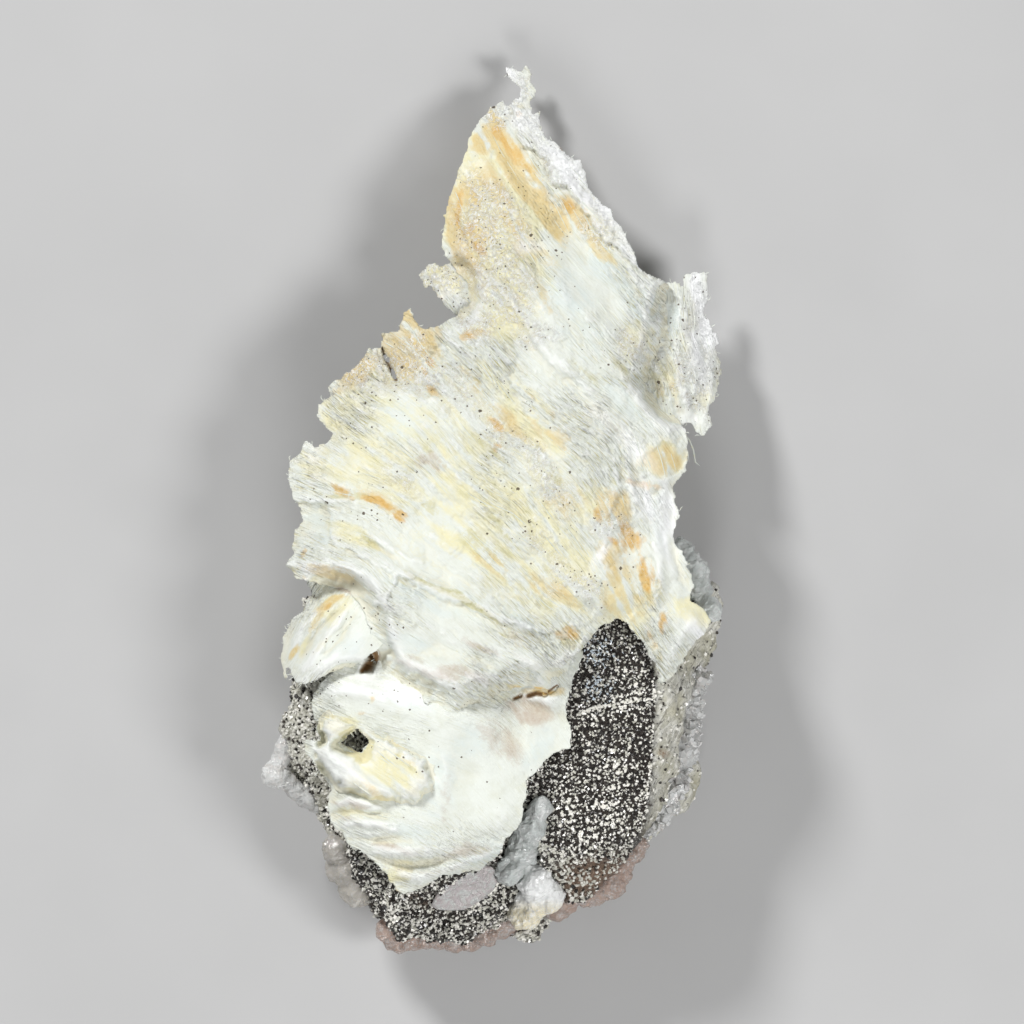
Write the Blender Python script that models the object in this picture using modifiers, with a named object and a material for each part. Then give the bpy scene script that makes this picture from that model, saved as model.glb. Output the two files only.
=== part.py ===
"""Palygorskite felt, the tough papery form called mountain leather, on grey dolostone with calcite.

The hand specimen lies on the flat broken back of its rock. X runs to the right across its front,
Y runs up its front towards the spire of felt, and Z points out of the front.
Outlines, places and sizes are in millimetres, and the outlines are as seen from straight above.
"""

import math
import random

import bmesh
import bpy
import numpy as np
from mathutils import Matrix, Vector, noise
from mathutils.bvhtree import BVHTree

MM = 0.001
GAP = 0.3  # between pieces that touch
RAY_START = 80.0  # above everything, for finding what lies under a sheet
PRISM_LOW, PRISM_HIGH = -10.0, 90.0  # the reach of the outline cutters

# The rock: its outline, its thickness, and how coarsely it is meshed
ROCK_OUTLINE = [
    (-24.6, -22.0), (-25.8, -26.5), (-26.4, -29.0), (-25.6, -33.4), (-23.9, -36.5), (-20.8, -40.9),
    (-18.6, -44.0), (-16.0, -47.1), (-14.6, -51.5), (-14.6, -54.0), (-12.0, -55.4), (-5.8, -55.2),
    (-2.0, -53.0), (1.1, -50.9), (5.5, -49.6), (10.5, -47.8), (15.5, -45.2), (18.6, -41.5),
    (21.1, -36.5), (23.6, -30.2), (25.5, -24.0), (27.0, -19.6), (28.4, -16.5), (28.0, -11.5),
    (25.5, -6.5), (22.4, -4.6), (18.0, -1.5), (8.0, 1.0), (-7.0, -0.2), (-19.5, -6.5), (-22.8, -14.0),
]
ROCK_HEIGHT = 24.0
ROCK_CELL = 2.0
ROCK_DETAIL = 0.054  # the share of its faces that the roughened rock keeps
# Roughness of the rock: its height and the size of its grain, fine and coarse
FINE_ROUGHNESS, FINE_GRAIN = 0.7, 6.0
COARSE_ROUGHNESS, COARSE_GRAIN = 2.2, 13.0
DRUSE_FACE_ROUGHNESS = 0.3  # the share of the fine roughness that the flat front face has
FACING_FRONT = 0.93  # the least upward part of a normal on that flat face
NOISE_FALL, NOISE_SCALING, NOISE_LAYERS = 0.9, 2.1, 3  # how the fine roughness is built up
BACK_CUT = 1.5  # how much of the roughened back is taken off flat
# Nodules and ledges on the rock: x, y, z and radius
ROCK_LUMPS = [
    (-23.6, -27.4, 14.0, 3.2), (-22.4, -31.8, 14.6, 2.8), (-23.8, -23.8, 12.5, 2.4),
    (-21.6, -35.2, 13.6, 2.6), (-17.4, -43.6, 13.4, 3.4), (-11.4, -50.6, 11.2, 4.3),
    (-4.8, -50.8, 11.6, 4.4), (0.6, -48.6, 12.6, 3.2), (9.0, -46.6, 13.4, 3.0),
    (13.6, -45.4, 13.2, 3.0), (25.2, -12.4, 11.8, 3.4), (26.0, -17.4, 9.0, 2.8),
    (-20.0, -14.0, 8.0, 5.5), (14.0, -4.0, 8.0, 5.5), (21.5, -34.0, 7.0, 4.6), (4.0, -50.0, 6.0, 4.6),
]
# Each broken face of the rock: a point on it, and the way that it looks
ROCK_BREAKS = [
    ((10.0, -28.0, 20.0), (0.04, 0.02, 1.00)),  # the flat druse face
    ((19.8, -31.0, 19.4), (0.87, -0.14, 0.47)),  # the grey right side
    ((10.0, -43.6, 19.0), (0.22, -0.76, 0.61)),  # below the druse face
    ((-10.0, -48.6, 16.5), (-0.12, -0.80, 0.58)),  # the foot
    ((-15.0, -44.0, 18.0), (-0.55, -0.42, 0.72)),  # lower left shoulder
    ((-19.5, -31.0, 18.5), (-0.70, -0.10, 0.70)),  # left side
    ((-18.0, -10.0, 18.5), (-0.55, 0.40, 0.74)),  # upper left shoulder
    ((0.0, -6.0, 20.0), (0.00, 0.72, 0.69)),  # upper end, under the felt
    ((23.0, -9.0, 16.5), (0.50, 0.50, 0.70)),  # upper right shoulder
    # the underside, narrower than the front
    ((25.0, -26.0, 8.0), (0.78, 0.16, -0.60)),
    ((19.0, -42.0, 6.0), (0.52, -0.40, -0.75)),
    ((-23.5, -32.0, 8.0), (-0.80, -0.10, -0.59)),
    ((-19.0, -9.0, 6.0), (-0.42, 0.46, -0.78)),
    ((-6.0, -52.5, 7.0), (-0.10, -0.80, -0.59)),
    ((6.0, -4.0, 8.0), (0.12, 0.80, -0.58)),
    ((20.0, -8.0, 5.0), (0.50, 0.40, -0.76)),
]

# Crystal clusters: a chain of (x, y, z, size), with more crystals set between and beside the named ones
CALCITE = {
    "left_calcite_cluster": ("round", [
        (-26.4, -29.2, 11.5, 1.8), (-26.8, -31.2, 11.5, 2.0), (-27.9, -33.2, 11.8, 2.9),
        (-26.0, -34.5, 11.0, 2.0), (-24.4, -35.8, 10.6, 2.0), (-22.8, -37.2, 10.2, 2.0),
    ]),
    "lower_left_calcite_lobe": ("round", [
        (-19.8, -42.6, 12.5, 2.9), (-18.8, -45.2, 10.5, 4.0), (-17.6, -47.7, 9.5, 4.2),
    ]),
    "foot_calcite_rim": ("round", [
        (-13.4, -52.8, 8.8, 2.6), (-12.4, -54.0, 6.2, 2.6), (-8.8, -54.1, 7.6, 2.2),
        (-5.4, -53.9, 5.8, 2.8), (-1.6, -53.0, 8.0, 3.8), (2.2, -51.6, 5.8, 3.0), (4.2, -50.8, 8.4, 2.4),
    ]),
    "lower_right_calcite_rim": ("round", [
        (7.4, -50.3, 8.5, 3.2), (9.6, -48.9, 10.6, 2.2), (12.2, -48.3, 8.4, 3.0),
        (14.4, -47.0, 10.4, 3.0), (16.2, -44.4, 8.2, 2.4), (18.0, -42.2, 10.6, 2.2),
    ]),
    "right_calcite_rim": ("rhomb", [
        (19.4, -39.6, 10.2, 2.3), (20.8, -37.6, 9.6, 2.4), (22.1, -35.0, 10.6, 2.6),
        (22.2, -32.6, 9.8, 2.3), (23.5, -29.8, 10.6, 2.7), (24.0, -27.0, 9.8, 2.7),
        (24.3, -24.2, 10.4, 2.3), (25.4, -21.6, 9.6, 2.2),
    ]),
    "upper_right_calcite_crust": ("round", [
        (23.3, -5.4, 12.8, 2.4), (24.6, -7.8, 13.6, 2.7), (25.5, -10.2, 12.4, 2.8),
        (26.6, -12.6, 13.2, 2.7), (27.3, -15.0, 12.0, 2.8), (26.6, -17.6, 11.2, 2.4),
    ]),
    "grey_calcite_cluster": ("round", [
        (5.3, -37.6, 19.4, 2.4), (4.5, -40.2, 19.0, 3.2), (3.2, -43.1, 18.2, 3.6), (1.8, -45.4, 16.8, 2.8),
    ]),
    "white_calcite_lump": ("round", [
        (5.2, -46.6, 15.6, 4.2), (6.6, -48.1, 14.2, 4.4), (3.6, -50.6, 12.2, 3.8),
    ]),
}
WHITE_CLUSTERS = ("upper_right_calcite_crust", "grey_calcite_cluster", "white_calcite_lump")
CRYSTAL_STEP = 1.02  # the spacing of a cluster's crystals, as a share of their size
CRYSTAL_SPREAD = 0.10
SMALLEST_SHARE, LARGEST_SHARE = 0.90, 1.20
SIDE_CHANCE = 0.16  # how often a smaller crystal grows beside one of the chain
SIDE_REACH = 0.62  # how far aside, as a share of the size
SIDE_STRAY = 0.5  # how far off straight up or down it leans
SIDE_SHARES = (0.45, 0.85)  # its size against its neighbour's
RHOMB_SQUEEZE = 0.74
ROUND_SHARE = 0.62  # the radius of a rounded lump against its size
FLAKE_OUTLINE = [
    (-8.2, -49.8), (-7.3, -50.3), (-5.8, -50.4), (-3.9, -50.3), (-2.0, -49.2), (-0.3, -47.8),
    (0.5, -46.0), (-0.6, -44.8), (-3.6, -44.4), (-5.9, -45.0), (-6.9, -46.6), (-7.4, -48.2),
]
FLAKE_MIDDLE = -3.6  # along X
FLAKE_THICKNESS = 0.9
FLAKE_HEIGHT = 18.6  # at its upper edge
FLAKE_TILT = 0.55  # rise towards the rock for each millimetre along Y

# Felt sheets, each as one torn outline
MAIN_OUTLINE = [
    # up the left side
    (-23.5, -9.1), (-25.1, -8.8), (-25.9, -7.7), (-26.3, -6.9), (-24.9, -5.7), (-25.6, -4.5),
    (-25.4, -3.0), (-24.3, -1.6), (-24.4, -0.1), (-25.3, 1.0), (-25.6, 2.2), (-26.1, 4.6),
    (-26.1, 5.8), (-25.0, 6.4), (-23.7, 8.2), (-22.6, 7.6), (-22.3, 8.1), (-21.4, 8.0),
    (-20.6, 8.6), (-20.4, 9.4), (-21.3, 9.9), (-22.1, 10.9), (-22.6, 11.9), (-22.3, 12.9),
    (-21.1, 14.2), (-21.0, 15.3), (-18.8, 17.0), (-16.4, 18.9), (-15.8, 19.8), (-14.7, 19.9),
    # the crack
    (-13.6, 18.2), (-12.6, 16.2), (-13.2, 18.3), (-14.3, 20.3),
    # the amber flap and up to the tab
    (-14.1, 21.8), (-11.9, 22.3), (-12.0, 23.3), (-11.6, 24.6), (-10.6, 24.8), (-9.4, 22.6),
    (-8.5, 22.4), (-7.5, 22.9), (-5.8, 23.6), (-4.6, 24.1), (-4.3, 25.4), (-3.5, 27.3),
    (-3.6, 28.4), (-4.8, 29.5), (-6.2, 31.3), (-7.0, 32.6), (-6.4, 35.8), (-6.1, 38.6),
    (-5.3, 40.4), (-4.8, 42.0), (-4.1, 44.1), (-3.6, 45.6), (-2.6, 47.5), (-2.0, 48.7),
    (-1.1, 49.3), (-0.8, 50.3), (0.3, 51.0), (1.0, 51.4), (1.4, 50.5), (2.0, 50.9),
    # the wisp at the tip
    (2.9, 51.7), (2.8, 52.9), (2.0, 53.3), (1.4, 54.1), (1.3, 55.4), (2.4, 55.1), (2.8, 54.6),
    (3.8, 55.5), (4.5, 54.4), (4.4, 53.4), (5.0, 52.8), (4.9, 51.7), (4.4, 51.4), (4.2, 50.4),
    # down the right side
    (4.6, 49.6), (5.9, 50.1), (5.3, 48.9), (6.1, 47.0), (7.6, 45.6), (9.0, 44.4), (9.7, 43.2),
    (10.4, 43.4), (11.1, 41.3), (12.1, 39.4), (14.3, 37.4), (15.5, 35.3), (16.8, 32.9),
    (18.0, 30.6), (18.5, 29.8), (19.9, 29.0), (21.4, 28.0), (21.9, 26.4), (22.3, 23.8),
    (22.0, 20.6), (20.8, 18.0), (19.2, 16.4), (18.5, 15.6), (20.0, 13.8), (21.8, 12.3),
    (23.4, 10.8), (23.7, 9.2), (24.0, 7.1), (23.6, 4.9), (22.8, 3.4), (22.3, 2.9), (22.5, 1.0),
    (23.0, -0.9), (22.3, -2.3), (22.0, -3.4), (22.3, -4.6), (23.1, -5.4), (23.8, -6.8),
    (24.3, -8.4), (24.8, -10.3), (24.5, -11.5), (25.5, -12.4), (26.5, -13.4), (27.0, -14.3),
    (25.9, -15.8), (25.1, -16.6), (23.8, -18.0), (23.0, -19.3), (22.4, -20.9), (21.5, -21.6),
    # along the top of the bare druse face and the lower edge
    (20.9, -22.0), (20.1, -20.6), (19.4, -19.0), (18.6, -17.5), (17.6, -16.3), (17.0, -15.3),
    (16.1, -14.3), (14.9, -13.6), (13.0, -14.9), (11.5, -16.5), (10.1, -18.4), (8.8, -20.1),
    (7.6, -21.8), (7.1, -23.5), (5.6, -23.6), (4.0, -23.3), (2.5, -23.4), (1.1, -24.0),
    (-0.9, -24.9), (-2.6, -25.4), (-3.8, -26.0), (-4.5, -26.9), (-7.0, -25.9), (-9.5, -24.0),
    (-12.6, -22.0), (-14.5, -20.5), (-15.4, -18.6), (-15.0, -17.1), (-14.1, -15.5),
    (-14.8, -13.8), (-16.3, -11.8), (-18.3, -10.5), (-20.8, -9.8),
]
APRON_OUTLINE = [
    (-21.1, -21.1), (-22.8, -23.3), (-22.9, -24.8), (-22.3, -26.8), (-21.8, -28.4), (-22.4, -32.0),
    (-20.6, -34.8), (-21.0, -36.7), (-20.6, -38.4), (-20.1, -40.1), (-18.4, -41.8), (-16.7, -43.1),
    (-14.8, -44.6), (-13.4, -46.5), (-12.4, -47.7), (-11.4, -48.3), (-9.1, -47.4), (-7.4, -46.5),
    (-6.6, -46.0), (-4.5, -45.8), (-2.4, -45.2), (-0.4, -44.1), (0.8, -42.7), (1.0, -41.5),
    (2.4, -40.3), (3.0, -39.3), (3.4, -38.5), (3.6, -35.9), (3.9, -34.4), (5.1, -32.8),
    (6.0, -31.6), (8.0, -30.3), (9.5, -29.9), (9.6, -28.1), (8.9, -26.5), (8.8, -25.0),
    (9.4, -22.8), (10.1, -19.9), (11.0, -17.8), (9.0, -17.6), (5.0, -19.4), (0.0, -21.0),
    (-7.0, -21.8), (-12.0, -19.6), (-13.6, -16.8), (-16.6, -17.0),
]
TONGUE_OUTLINE = [
    (-22.7, -9.8), (-22.8, -10.8), (-23.9, -12.4), (-25.6, -13.9), (-26.4, -16.4), (-26.9, -18.5),
    (-26.9, -20.1), (-26.3, -21.6), (-26.1, -19.9), (-25.6, -20.4), (-24.5, -21.9), (-23.9, -22.0),
    (-22.5, -21.5), (-21.1, -20.9), (-18.9, -20.0), (-16.6, -18.8), (-14.9, -16.6), (-14.6, -14.4),
    (-15.6, -12.0), (-18.2, -9.6), (-20.6, -8.8),
]
POCKET_OUTLINE = [
    (-22.0, -26.1), (-22.4, -27.4), (-22.0, -29.0), (-23.6, -29.2), (-23.8, -30.3), (-22.7, -32.1),
    (-21.5, -33.6), (-19.6, -35.3), (-17.6, -36.0), (-16.4, -36.7), (-15.0, -37.5), (-14.8, -36.9),
    (-12.9, -37.1), (-10.5, -37.4), (-9.8, -37.9), (-9.0, -36.3), (-7.9, -35.5), (-7.1, -34.6),
    (-7.6, -33.1), (-8.1, -30.8), (-9.5, -30.3), (-11.7, -29.1), (-13.4, -28.1), (-15.3, -27.9),
    (-17.3, -26.8), (-19.5, -25.5), (-21.0, -25.1),
]
FLAP_OUTLINE = [
    (20.2, 27.0), (21.4, 28.1), (22.4, 28.4), (22.9, 28.0), (23.9, 26.3), (23.8, 29.1),
    (24.3, 29.5), (25.7, 29.7), (26.4, 29.1), (26.7, 25.8), (26.3, 24.5), (26.7, 23.7),
    (27.4, 21.7), (27.9, 19.2), (28.5, 18.3), (27.9, 17.0), (27.6, 14.5), (27.3, 13.3),
    (26.7, 13.0), (26.8, 11.6), (27.0, 10.1), (25.6, 8.8), (25.0, 9.8), (24.3, 10.5),
    (23.4, 10.6), (20.8, 11.2), (18.4, 13.4), (17.2, 16.0), (17.8, 20.0), (19.2, 24.0),
]
TAB_OUTLINE = [
    (-5.6, 31.2), (-6.9, 30.5), (-8.5, 30.6), (-9.5, 29.1), (-8.9, 27.6), (-8.1, 27.8),
    (-7.3, 26.4), (-6.1, 25.0), (-5.1, 24.0), (-3.4, 24.4), (-3.2, 26.2), (-4.4, 27.2),
    (-4.7, 28.6), (-4.1, 30.2),
]
HOLE_OUTLINE = [(-19.8, -29.4), (-17.3, -27.5), (-16.0, -29.1), (-16.7, -30.9)]
PIT_OUTLINE = [(-16.2, -19.4), (-15.3, -17.6), (-14.7, -18.4), (-14.6, -19.6), (-15.4, -20.0)]

# Folds of each sheet: start, end, half width and height, where a negative height is a valley
MAIN_FOLDS = [
    ((6.0, 48.0), (17.0, 32.0), 1.9, 1.7),
    ((1.5, 46.5), (11.5, 32.0), 1.5, -1.5),
    ((-2.5, 46.0), (-4.0, 34.0), 2.0, 0.8),
    ((-1.0, 34.0), (2.5, 30.0), 3.0, 0.6),
    ((2.0, 29.0), (21.0, 9.0), 3.4, 1.3),
    ((9.0, 33.0), (19.0, 20.0), 2.0, -0.9),
    ((-8.0, 20.0), (12.0, 0.0), 2.0, -0.8),
    ((-20.0, 13.0), (-11.0, 9.0), 3.4, 1.0),
    ((-24.0, 4.5), (-14.0, 2.0), 2.6, 1.1),
    ((-13.0, -2.5), (3.0, -14.0), 1.4, 0.9),
    ((-6.0, 7.0), (11.0, -9.0), 2.4, 0.9),
    ((-25.0, -5.5), (-13.0, -9.5), 1.8, 1.2),
    ((-24.0, -2.0), (-17.0, -2.6), 1.4, -0.9),
    ((-12.0, -11.0), (8.0, -20.0), 2.6, 0.9),
    ((13.0, 4.0), (15.0, -11.0), 2.0, 1.0),
    ((17.5, -2.0), (19.5, -14.0), 1.8, -0.9),
    ((22.0, 1.0), (22.6, -16.0), 1.8, 0.9),
    ((20.0, 7.5), (23.0, 4.5), 2.4, 1.4),
]
APRON_FOLDS = [
    ((-6.0, -30.0), (-7.0, -38.0), 7.0, 1.7),
    ((-20.0, -38.0), (-15.0, -37.4), 0.9, 0.8),
    ((-19.0, -40.4), (-9.0, -41.4), 1.0, 0.9),
    ((-15.0, -43.6), (-5.0, -43.2), 1.0, 0.9),
    ((3.0, -26.5), (8.0, -27.5), 2.6, -0.9),
    ((-19.0, -23.0), (-6.0, -26.5), 2.2, 1.1),
    ((8.4, -29.0), (9.4, -20.0), 0.9, 0.7),
]
TONGUE_FOLDS = [
    ((-24.6, -13.6), (-26.2, -20.0), 1.0, 1.0),
    ((-20.0, -11.5), (-24.6, -20.0), 1.0, 0.9),
    ((-18.0, -11.8), (-16.0, -16.0), 1.6, 0.7),
]
POCKET_FOLDS = [
    ((-23.2, -30.0), (-16.0, -36.0), 1.3, 1.1),
    ((-21.4, -26.6), (-17.0, -27.2), 1.0, 0.9),
    ((-9.6, -37.2), (-8.0, -31.0), 0.8, 0.7),
]
FLAP_FOLDS = [
    ((24.6, 28.5), (24.9, 12.0), 1.5, 1.1),
    ((27.2, 21.0), (26.6, 11.0), 0.9, 0.8),
]
TAB_FOLDS = [((-8.6, 29.6), (-5.6, 25.6), 1.0, 0.9)]

# Each felt sheet: the cell of its mesh, its thickness at the torn edge and inside, and how far in
# from its edge it thickens
FELT_BODIES = {
    "curled_felt_flap": (2.2, 0.9, 1.8, 2.5),
    "left_felt_tab": (1.6, 0.8, 1.6, 1.5),
    "lower_felt_apron": (2.6, 0.9, 1.9, 2.5),
    "left_felt_tongue": (2.1, 0.9, 1.8, 2.0),
    "cream_felt_pocket": (2.1, 0.7, 1.1, 1.5),
    "main_felt_sheet": (3.1, 1.1, 2.9, 3.5),
}
PROBES = range(-2, 3)  # the half cells around a point where a sheet feels for what is under it
SETTLING_ROUNDS = 4  # how often a sheet's hollows are raised towards their neighbours
MERGE_DISTANCE = 0.001

# How the big sheet's underside arches where nothing is below it
ARCH_START, ARCH_LENGTH = -2.0, 57.5  # along Y, from above the rock to the spire's tip
ARCH_HEIGHT, ARCH_DROP = 19.5, 17.5  # at its start, and how far down the tip is from there
STEADY_DROP, BENT_DROP = 0.35, 0.65  # the shares of that drop that are straight and that bend
ARCH_LEAN = 3.0  # how far to the right its middle moves on the way
ARCH_HALF_WIDTH, ARCH_NARROWING = 25.0, 20.0
ARCH_SIDES, ARCH_REACH = 5.0, 1.25  # how far its sides hang, and out to how many half widths
SPIRE_CLEARANCE, FLAP_CLEARANCE = 0.6, 1.0  # the least height above the back
# The side pieces: where each comes out from under the big sheet, how far below it, and how it dives
FLAP_ROOT, FLAP_BELOW, FLAP_DIVE = 22.0, 1.6, 0.09
TAB_ROOT, TAB_BELOW, TAB_DIVE = -4.5, 1.5, 0.06
TONGUE_ROOT, TONGUE_HEIGHT, TONGUE_DIVE = -16.0, 16.0, 0.10
LOW_HEIGHT, LOW_BEND, LOW_RISE, LOW_MIDDLE = 14.5, 0.004, 0.02, -30.0  # a sheet carried by the rock

# Name: colour, roughness
FINISHES = {
    "felt": ((0.93, 0.92, 0.86), 0.75),
    "cream_felt": ((0.92, 0.87, 0.66), 0.75),
    "dolostone": ((0.16, 0.15, 0.14), 0.80),
    "calcite": ((0.74, 0.64, 0.58), 0.20),
    "white_calcite": ((0.86, 0.87, 0.86), 0.25),
}


def finish(name):
    """The material of that name."""
    if name in bpy.data.materials:
        return bpy.data.materials[name]
    colour, roughness = FINISHES[name]
    material = bpy.data.materials.new(name)
    material.use_nodes = True
    shader = material.node_tree.nodes["Principled BSDF"]
    shader.inputs["Base Color"].default_value = (*colour, 1.0)
    shader.inputs["Roughness"].default_value = roughness
    shader.inputs["Metallic"].default_value = 0.0
    return material


def collection(name):
    made = bpy.data.collections.new(name)
    bpy.context.scene.collection.children.link(made)
    return made


def object_of(name, mesh, where):
    made = bpy.data.objects.new(name, mesh)
    where.objects.link(made)
    return made


def object_from_bmesh(name, shape, where):
    mesh = bpy.data.meshes.new(name)
    bmesh.ops.recalc_face_normals(shape, faces=shape.faces)
    shape.to_mesh(mesh)
    shape.free()
    return object_of(name, mesh, where)


def settle(obj):
    """Makes the object's modifiers part of its mesh."""
    graph = bpy.context.evaluated_depsgraph_get()
    mesh = bpy.data.meshes.new_from_object(obj.evaluated_get(graph))
    obj.modifiers.clear()
    obj.data = mesh


def combine(obj, others, operation):
    """Joins the others to the object, cuts them from it, or keeps what they share with it."""
    for other in others:
        change = obj.modifiers.new(operation.lower(), "BOOLEAN")
        change.operation = operation
        change.object = other
    settle(obj)


def remove(objects):
    for obj in objects:
        bpy.data.objects.remove(obj)


def keep_largest_body(obj):
    """Drops the crumbs that a cut leaves beside the piece."""
    shape = bmesh.new()
    shape.from_mesh(obj.data)
    left = set(shape.verts)
    bodies = []
    while left:
        body = set()
        waiting = [left.pop()]
        while waiting:
            vertex = waiting.pop()
            body.add(vertex)
            for edge in vertex.link_edges:
                other = edge.other_vert(vertex)
                if other in left:
                    left.remove(other)
                    waiting.append(other)
        bodies.append(body)
    bodies.sort(key=len)
    crumbs = [vertex for body in bodies[:-1] for vertex in body]
    bmesh.ops.delete(shape, geom=crumbs, context="VERTS")
    shape.to_mesh(obj.data)
    shape.free()


def prism(name, outline, low, high, where):
    """A straight-sided solid over an outline, as a mesh."""
    curve = bpy.data.curves.new(name, "CURVE")
    curve.dimensions = "2D"
    curve.fill_mode = "BOTH"
    curve.extrude = (high - low) / 2 * MM
    line = curve.splines.new("POLY")
    line.points.add(len(outline) - 1)
    for point, (x, y) in zip(line.points, outline):
        point.co = (x * MM, y * MM, 0.0, 1.0)
    line.use_cyclic_u = True
    flat = object_of(name + "_outline", curve, where)
    graph = bpy.context.evaluated_depsgraph_get()
    mesh = bpy.data.meshes.new_from_object(flat.evaluated_get(graph))
    remove([flat])
    shape = bmesh.new()
    shape.from_mesh(mesh)
    bmesh.ops.remove_doubles(shape, verts=shape.verts, dist=MERGE_DISTANCE * MM)
    bmesh.ops.translate(shape, verts=shape.verts, vec=(0, 0, (low + high) / 2 * MM))
    return object_from_bmesh(name, shape, where)


def cut_flat(shape, point, normal):
    """Takes off everything beyond a plane and closes the cut."""
    geometry = list(shape.verts) + list(shape.edges) + list(shape.faces)
    cut = bmesh.ops.bisect_plane(
        shape, geom=geometry, plane_co=point, plane_no=normal, clear_outer=True
    )
    edges = [item for item in cut["geom_cut"] if isinstance(item, bmesh.types.BMEdge)]
    bmesh.ops.holes_fill(shape, edges=edges)


def make_rock(parts, helpers):
    """The dolostone: a slab with its corners broken off, roughened, and flat on its back."""
    block = prism("rock_block", ROCK_OUTLINE, 0.0, ROCK_HEIGHT, helpers)
    shape = bmesh.new()
    shape.from_mesh(block.data)
    for point, normal in ROCK_BREAKS:
        cut_flat(shape, Vector(point) * MM, Vector(normal).normalized())
    for x, y, z, radius in ROCK_LUMPS:
        place = Matrix.Translation(Vector((x, y, z)) * MM)
        bmesh.ops.create_icosphere(shape, subdivisions=2, radius=radius * MM, matrix=place)
    remove([block])
    rock = object_from_bmesh("dolostone_matrix", shape, parts)
    remesh = rock.modifiers.new("even_mesh", "REMESH")
    remesh.mode = "VOXEL"
    remesh.voxel_size = ROCK_CELL * MM
    settle(rock)
    shape = bmesh.new()
    shape.from_mesh(rock.data)
    shape.normal_update()
    moves = []
    for vertex in shape.verts:
        place = vertex.co / (FINE_GRAIN * MM)
        fine = FINE_ROUGHNESS * noise.fractal(place, NOISE_FALL, NOISE_SCALING, NOISE_LAYERS)
        coarse = COARSE_ROUGHNESS * noise.noise(vertex.co / (COARSE_GRAIN * MM))
        on_druse_face = vertex.normal.z > FACING_FRONT
        rough = fine * DRUSE_FACE_ROUGHNESS if on_druse_face else fine + coarse
        moves.append(vertex.normal * rough * MM)
    for vertex, move in zip(shape.verts, moves):
        vertex.co += move
    cut_flat(shape, Vector((0, 0, BACK_CUT * MM)), Vector((0, 0, -1)))
    bmesh.ops.translate(shape, verts=shape.verts, vec=(0, 0, -BACK_CUT * MM))
    made = object_from_bmesh("rock_roughened", shape, helpers)
    rock.data = made.data
    remove([made])
    facets = rock.modifiers.new("broken_facets", "DECIMATE")
    facets.ratio = ROCK_DETAIL
    settle(rock)
    return rock


def add_rhomb(shape, size):
    """A calcite rhomb: a cube squeezed along one diagonal."""
    made = bmesh.ops.create_cube(shape, size=size)
    diagonal = Vector((1, 1, 1)).normalized()
    squeeze = Matrix.Scale(RHOMB_SQUEEZE, 4, diagonal)
    bmesh.ops.transform(shape, matrix=squeeze, verts=made["verts"])


def add_round(shape, size):
    """A rounded, many-faced lump of calcite."""
    bmesh.ops.create_icosphere(shape, subdivisions=1, radius=size * ROUND_SHARE)


def crystal(name, habit, place, size, turn, where):
    shape = bmesh.new()
    if habit == "rhomb":
        add_rhomb(shape, size * MM)
    else:
        add_round(shape, size * MM)
    bmesh.ops.transform(shape, matrix=turn.to_4x4(), verts=shape.verts)
    bmesh.ops.translate(shape, verts=shape.verts, vec=Vector(place) * MM)
    return object_from_bmesh(name, shape, where)


def random_turn(dice):
    way = Vector([dice.uniform(-1, 1) for _ in range(3)])
    return way.to_track_quat("Z", "Y").to_matrix() @ Matrix.Rotation(dice.uniform(0, math.tau), 3, "Z")


def cluster_places(name, habit, chain):
    """Each crystal of a cluster as (habit, place, size, turn)."""
    dice = random.Random(name)
    made = []
    stops = []
    for start, end in zip(chain, chain[1:]):
        away = (Vector(end[:3]) - Vector(start[:3])).length
        count = max(1, math.ceil(away / (CRYSTAL_STEP * (start[3] + end[3]) / 2)))
        for step in range(count):
            share = step / count
            stops.append([a + (b - a) * share for a, b in zip(start, end)])
    stops.append(list(chain[-1]))
    for x, y, z, size in stops:
        spread = CRYSTAL_SPREAD * size
        place = Vector([value + dice.uniform(-spread, spread) for value in (x, y, z)])
        grown = size * dice.uniform(SMALLEST_SHARE, LARGEST_SHARE)
        made.append((habit, place, grown, random_turn(dice)))
        if dice.random() < SIDE_CHANCE:
            stray = [dice.uniform(-SIDE_STRAY, SIDE_STRAY) for _ in range(2)]
            aside = Vector((*stray, dice.choice((-1.0, 1.0))))
            beside = place + aside.normalized() * SIDE_REACH * grown
            made.append((habit, beside, grown * dice.uniform(*SIDE_SHARES), random_turn(dice)))
    return made


def make_cluster(name, habit, chain, parts, helpers):
    """A cluster of grown-together crystals as one solid, and the slightly larger socket that it needs."""
    solids = []
    for larger, where in ((0.0, parts), (2 * GAP, helpers)):
        grown = [
            crystal(f"{name}_{index}", kind, place, size + larger, turn, helpers)
            for index, (kind, place, size, turn) in enumerate(cluster_places(name, habit, chain))
        ]
        first = grown[0]
        combine(first, grown[1:], "UNION")
        whole = object_of(name if where is parts else name + "_socket", first.data, where)
        remove(grown)
        solids.append(whole)
    return solids


def make_flake(parts, helpers):
    """The thin mauve cleavage flake at the foot, tilted against the rock."""
    solids = []
    for name, margin, where in (("mauve_calcite_flake", 0.0, parts), ("flake_socket", GAP, helpers)):
        flake = prism(name, FLAKE_OUTLINE, -FLAKE_THICKNESS - margin, margin, where)
        lowest = min(y for _, y in FLAKE_OUTLINE)
        highest = max(y for _, y in FLAKE_OUTLINE)
        middle = Vector((FLAKE_MIDDLE, (lowest + highest) / 2, 0.0))
        for vertex in flake.data.vertices:
            x, y, z = vertex.co / MM
            grow = 1.0 + margin / 2
            x = middle.x + (x - middle.x) * grow
            y = middle.y + (y - middle.y) * grow
            z += FLAKE_HEIGHT - FLAKE_TILT * (highest - y)
            vertex.co = Vector((x, y, z)) * MM
        solids.append(flake)
    return solids


def tree_of(obj):
    shape = bmesh.new()
    shape.from_mesh(obj.data)
    tree = BVHTree.FromBMesh(shape)
    shape.free()
    return tree


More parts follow.
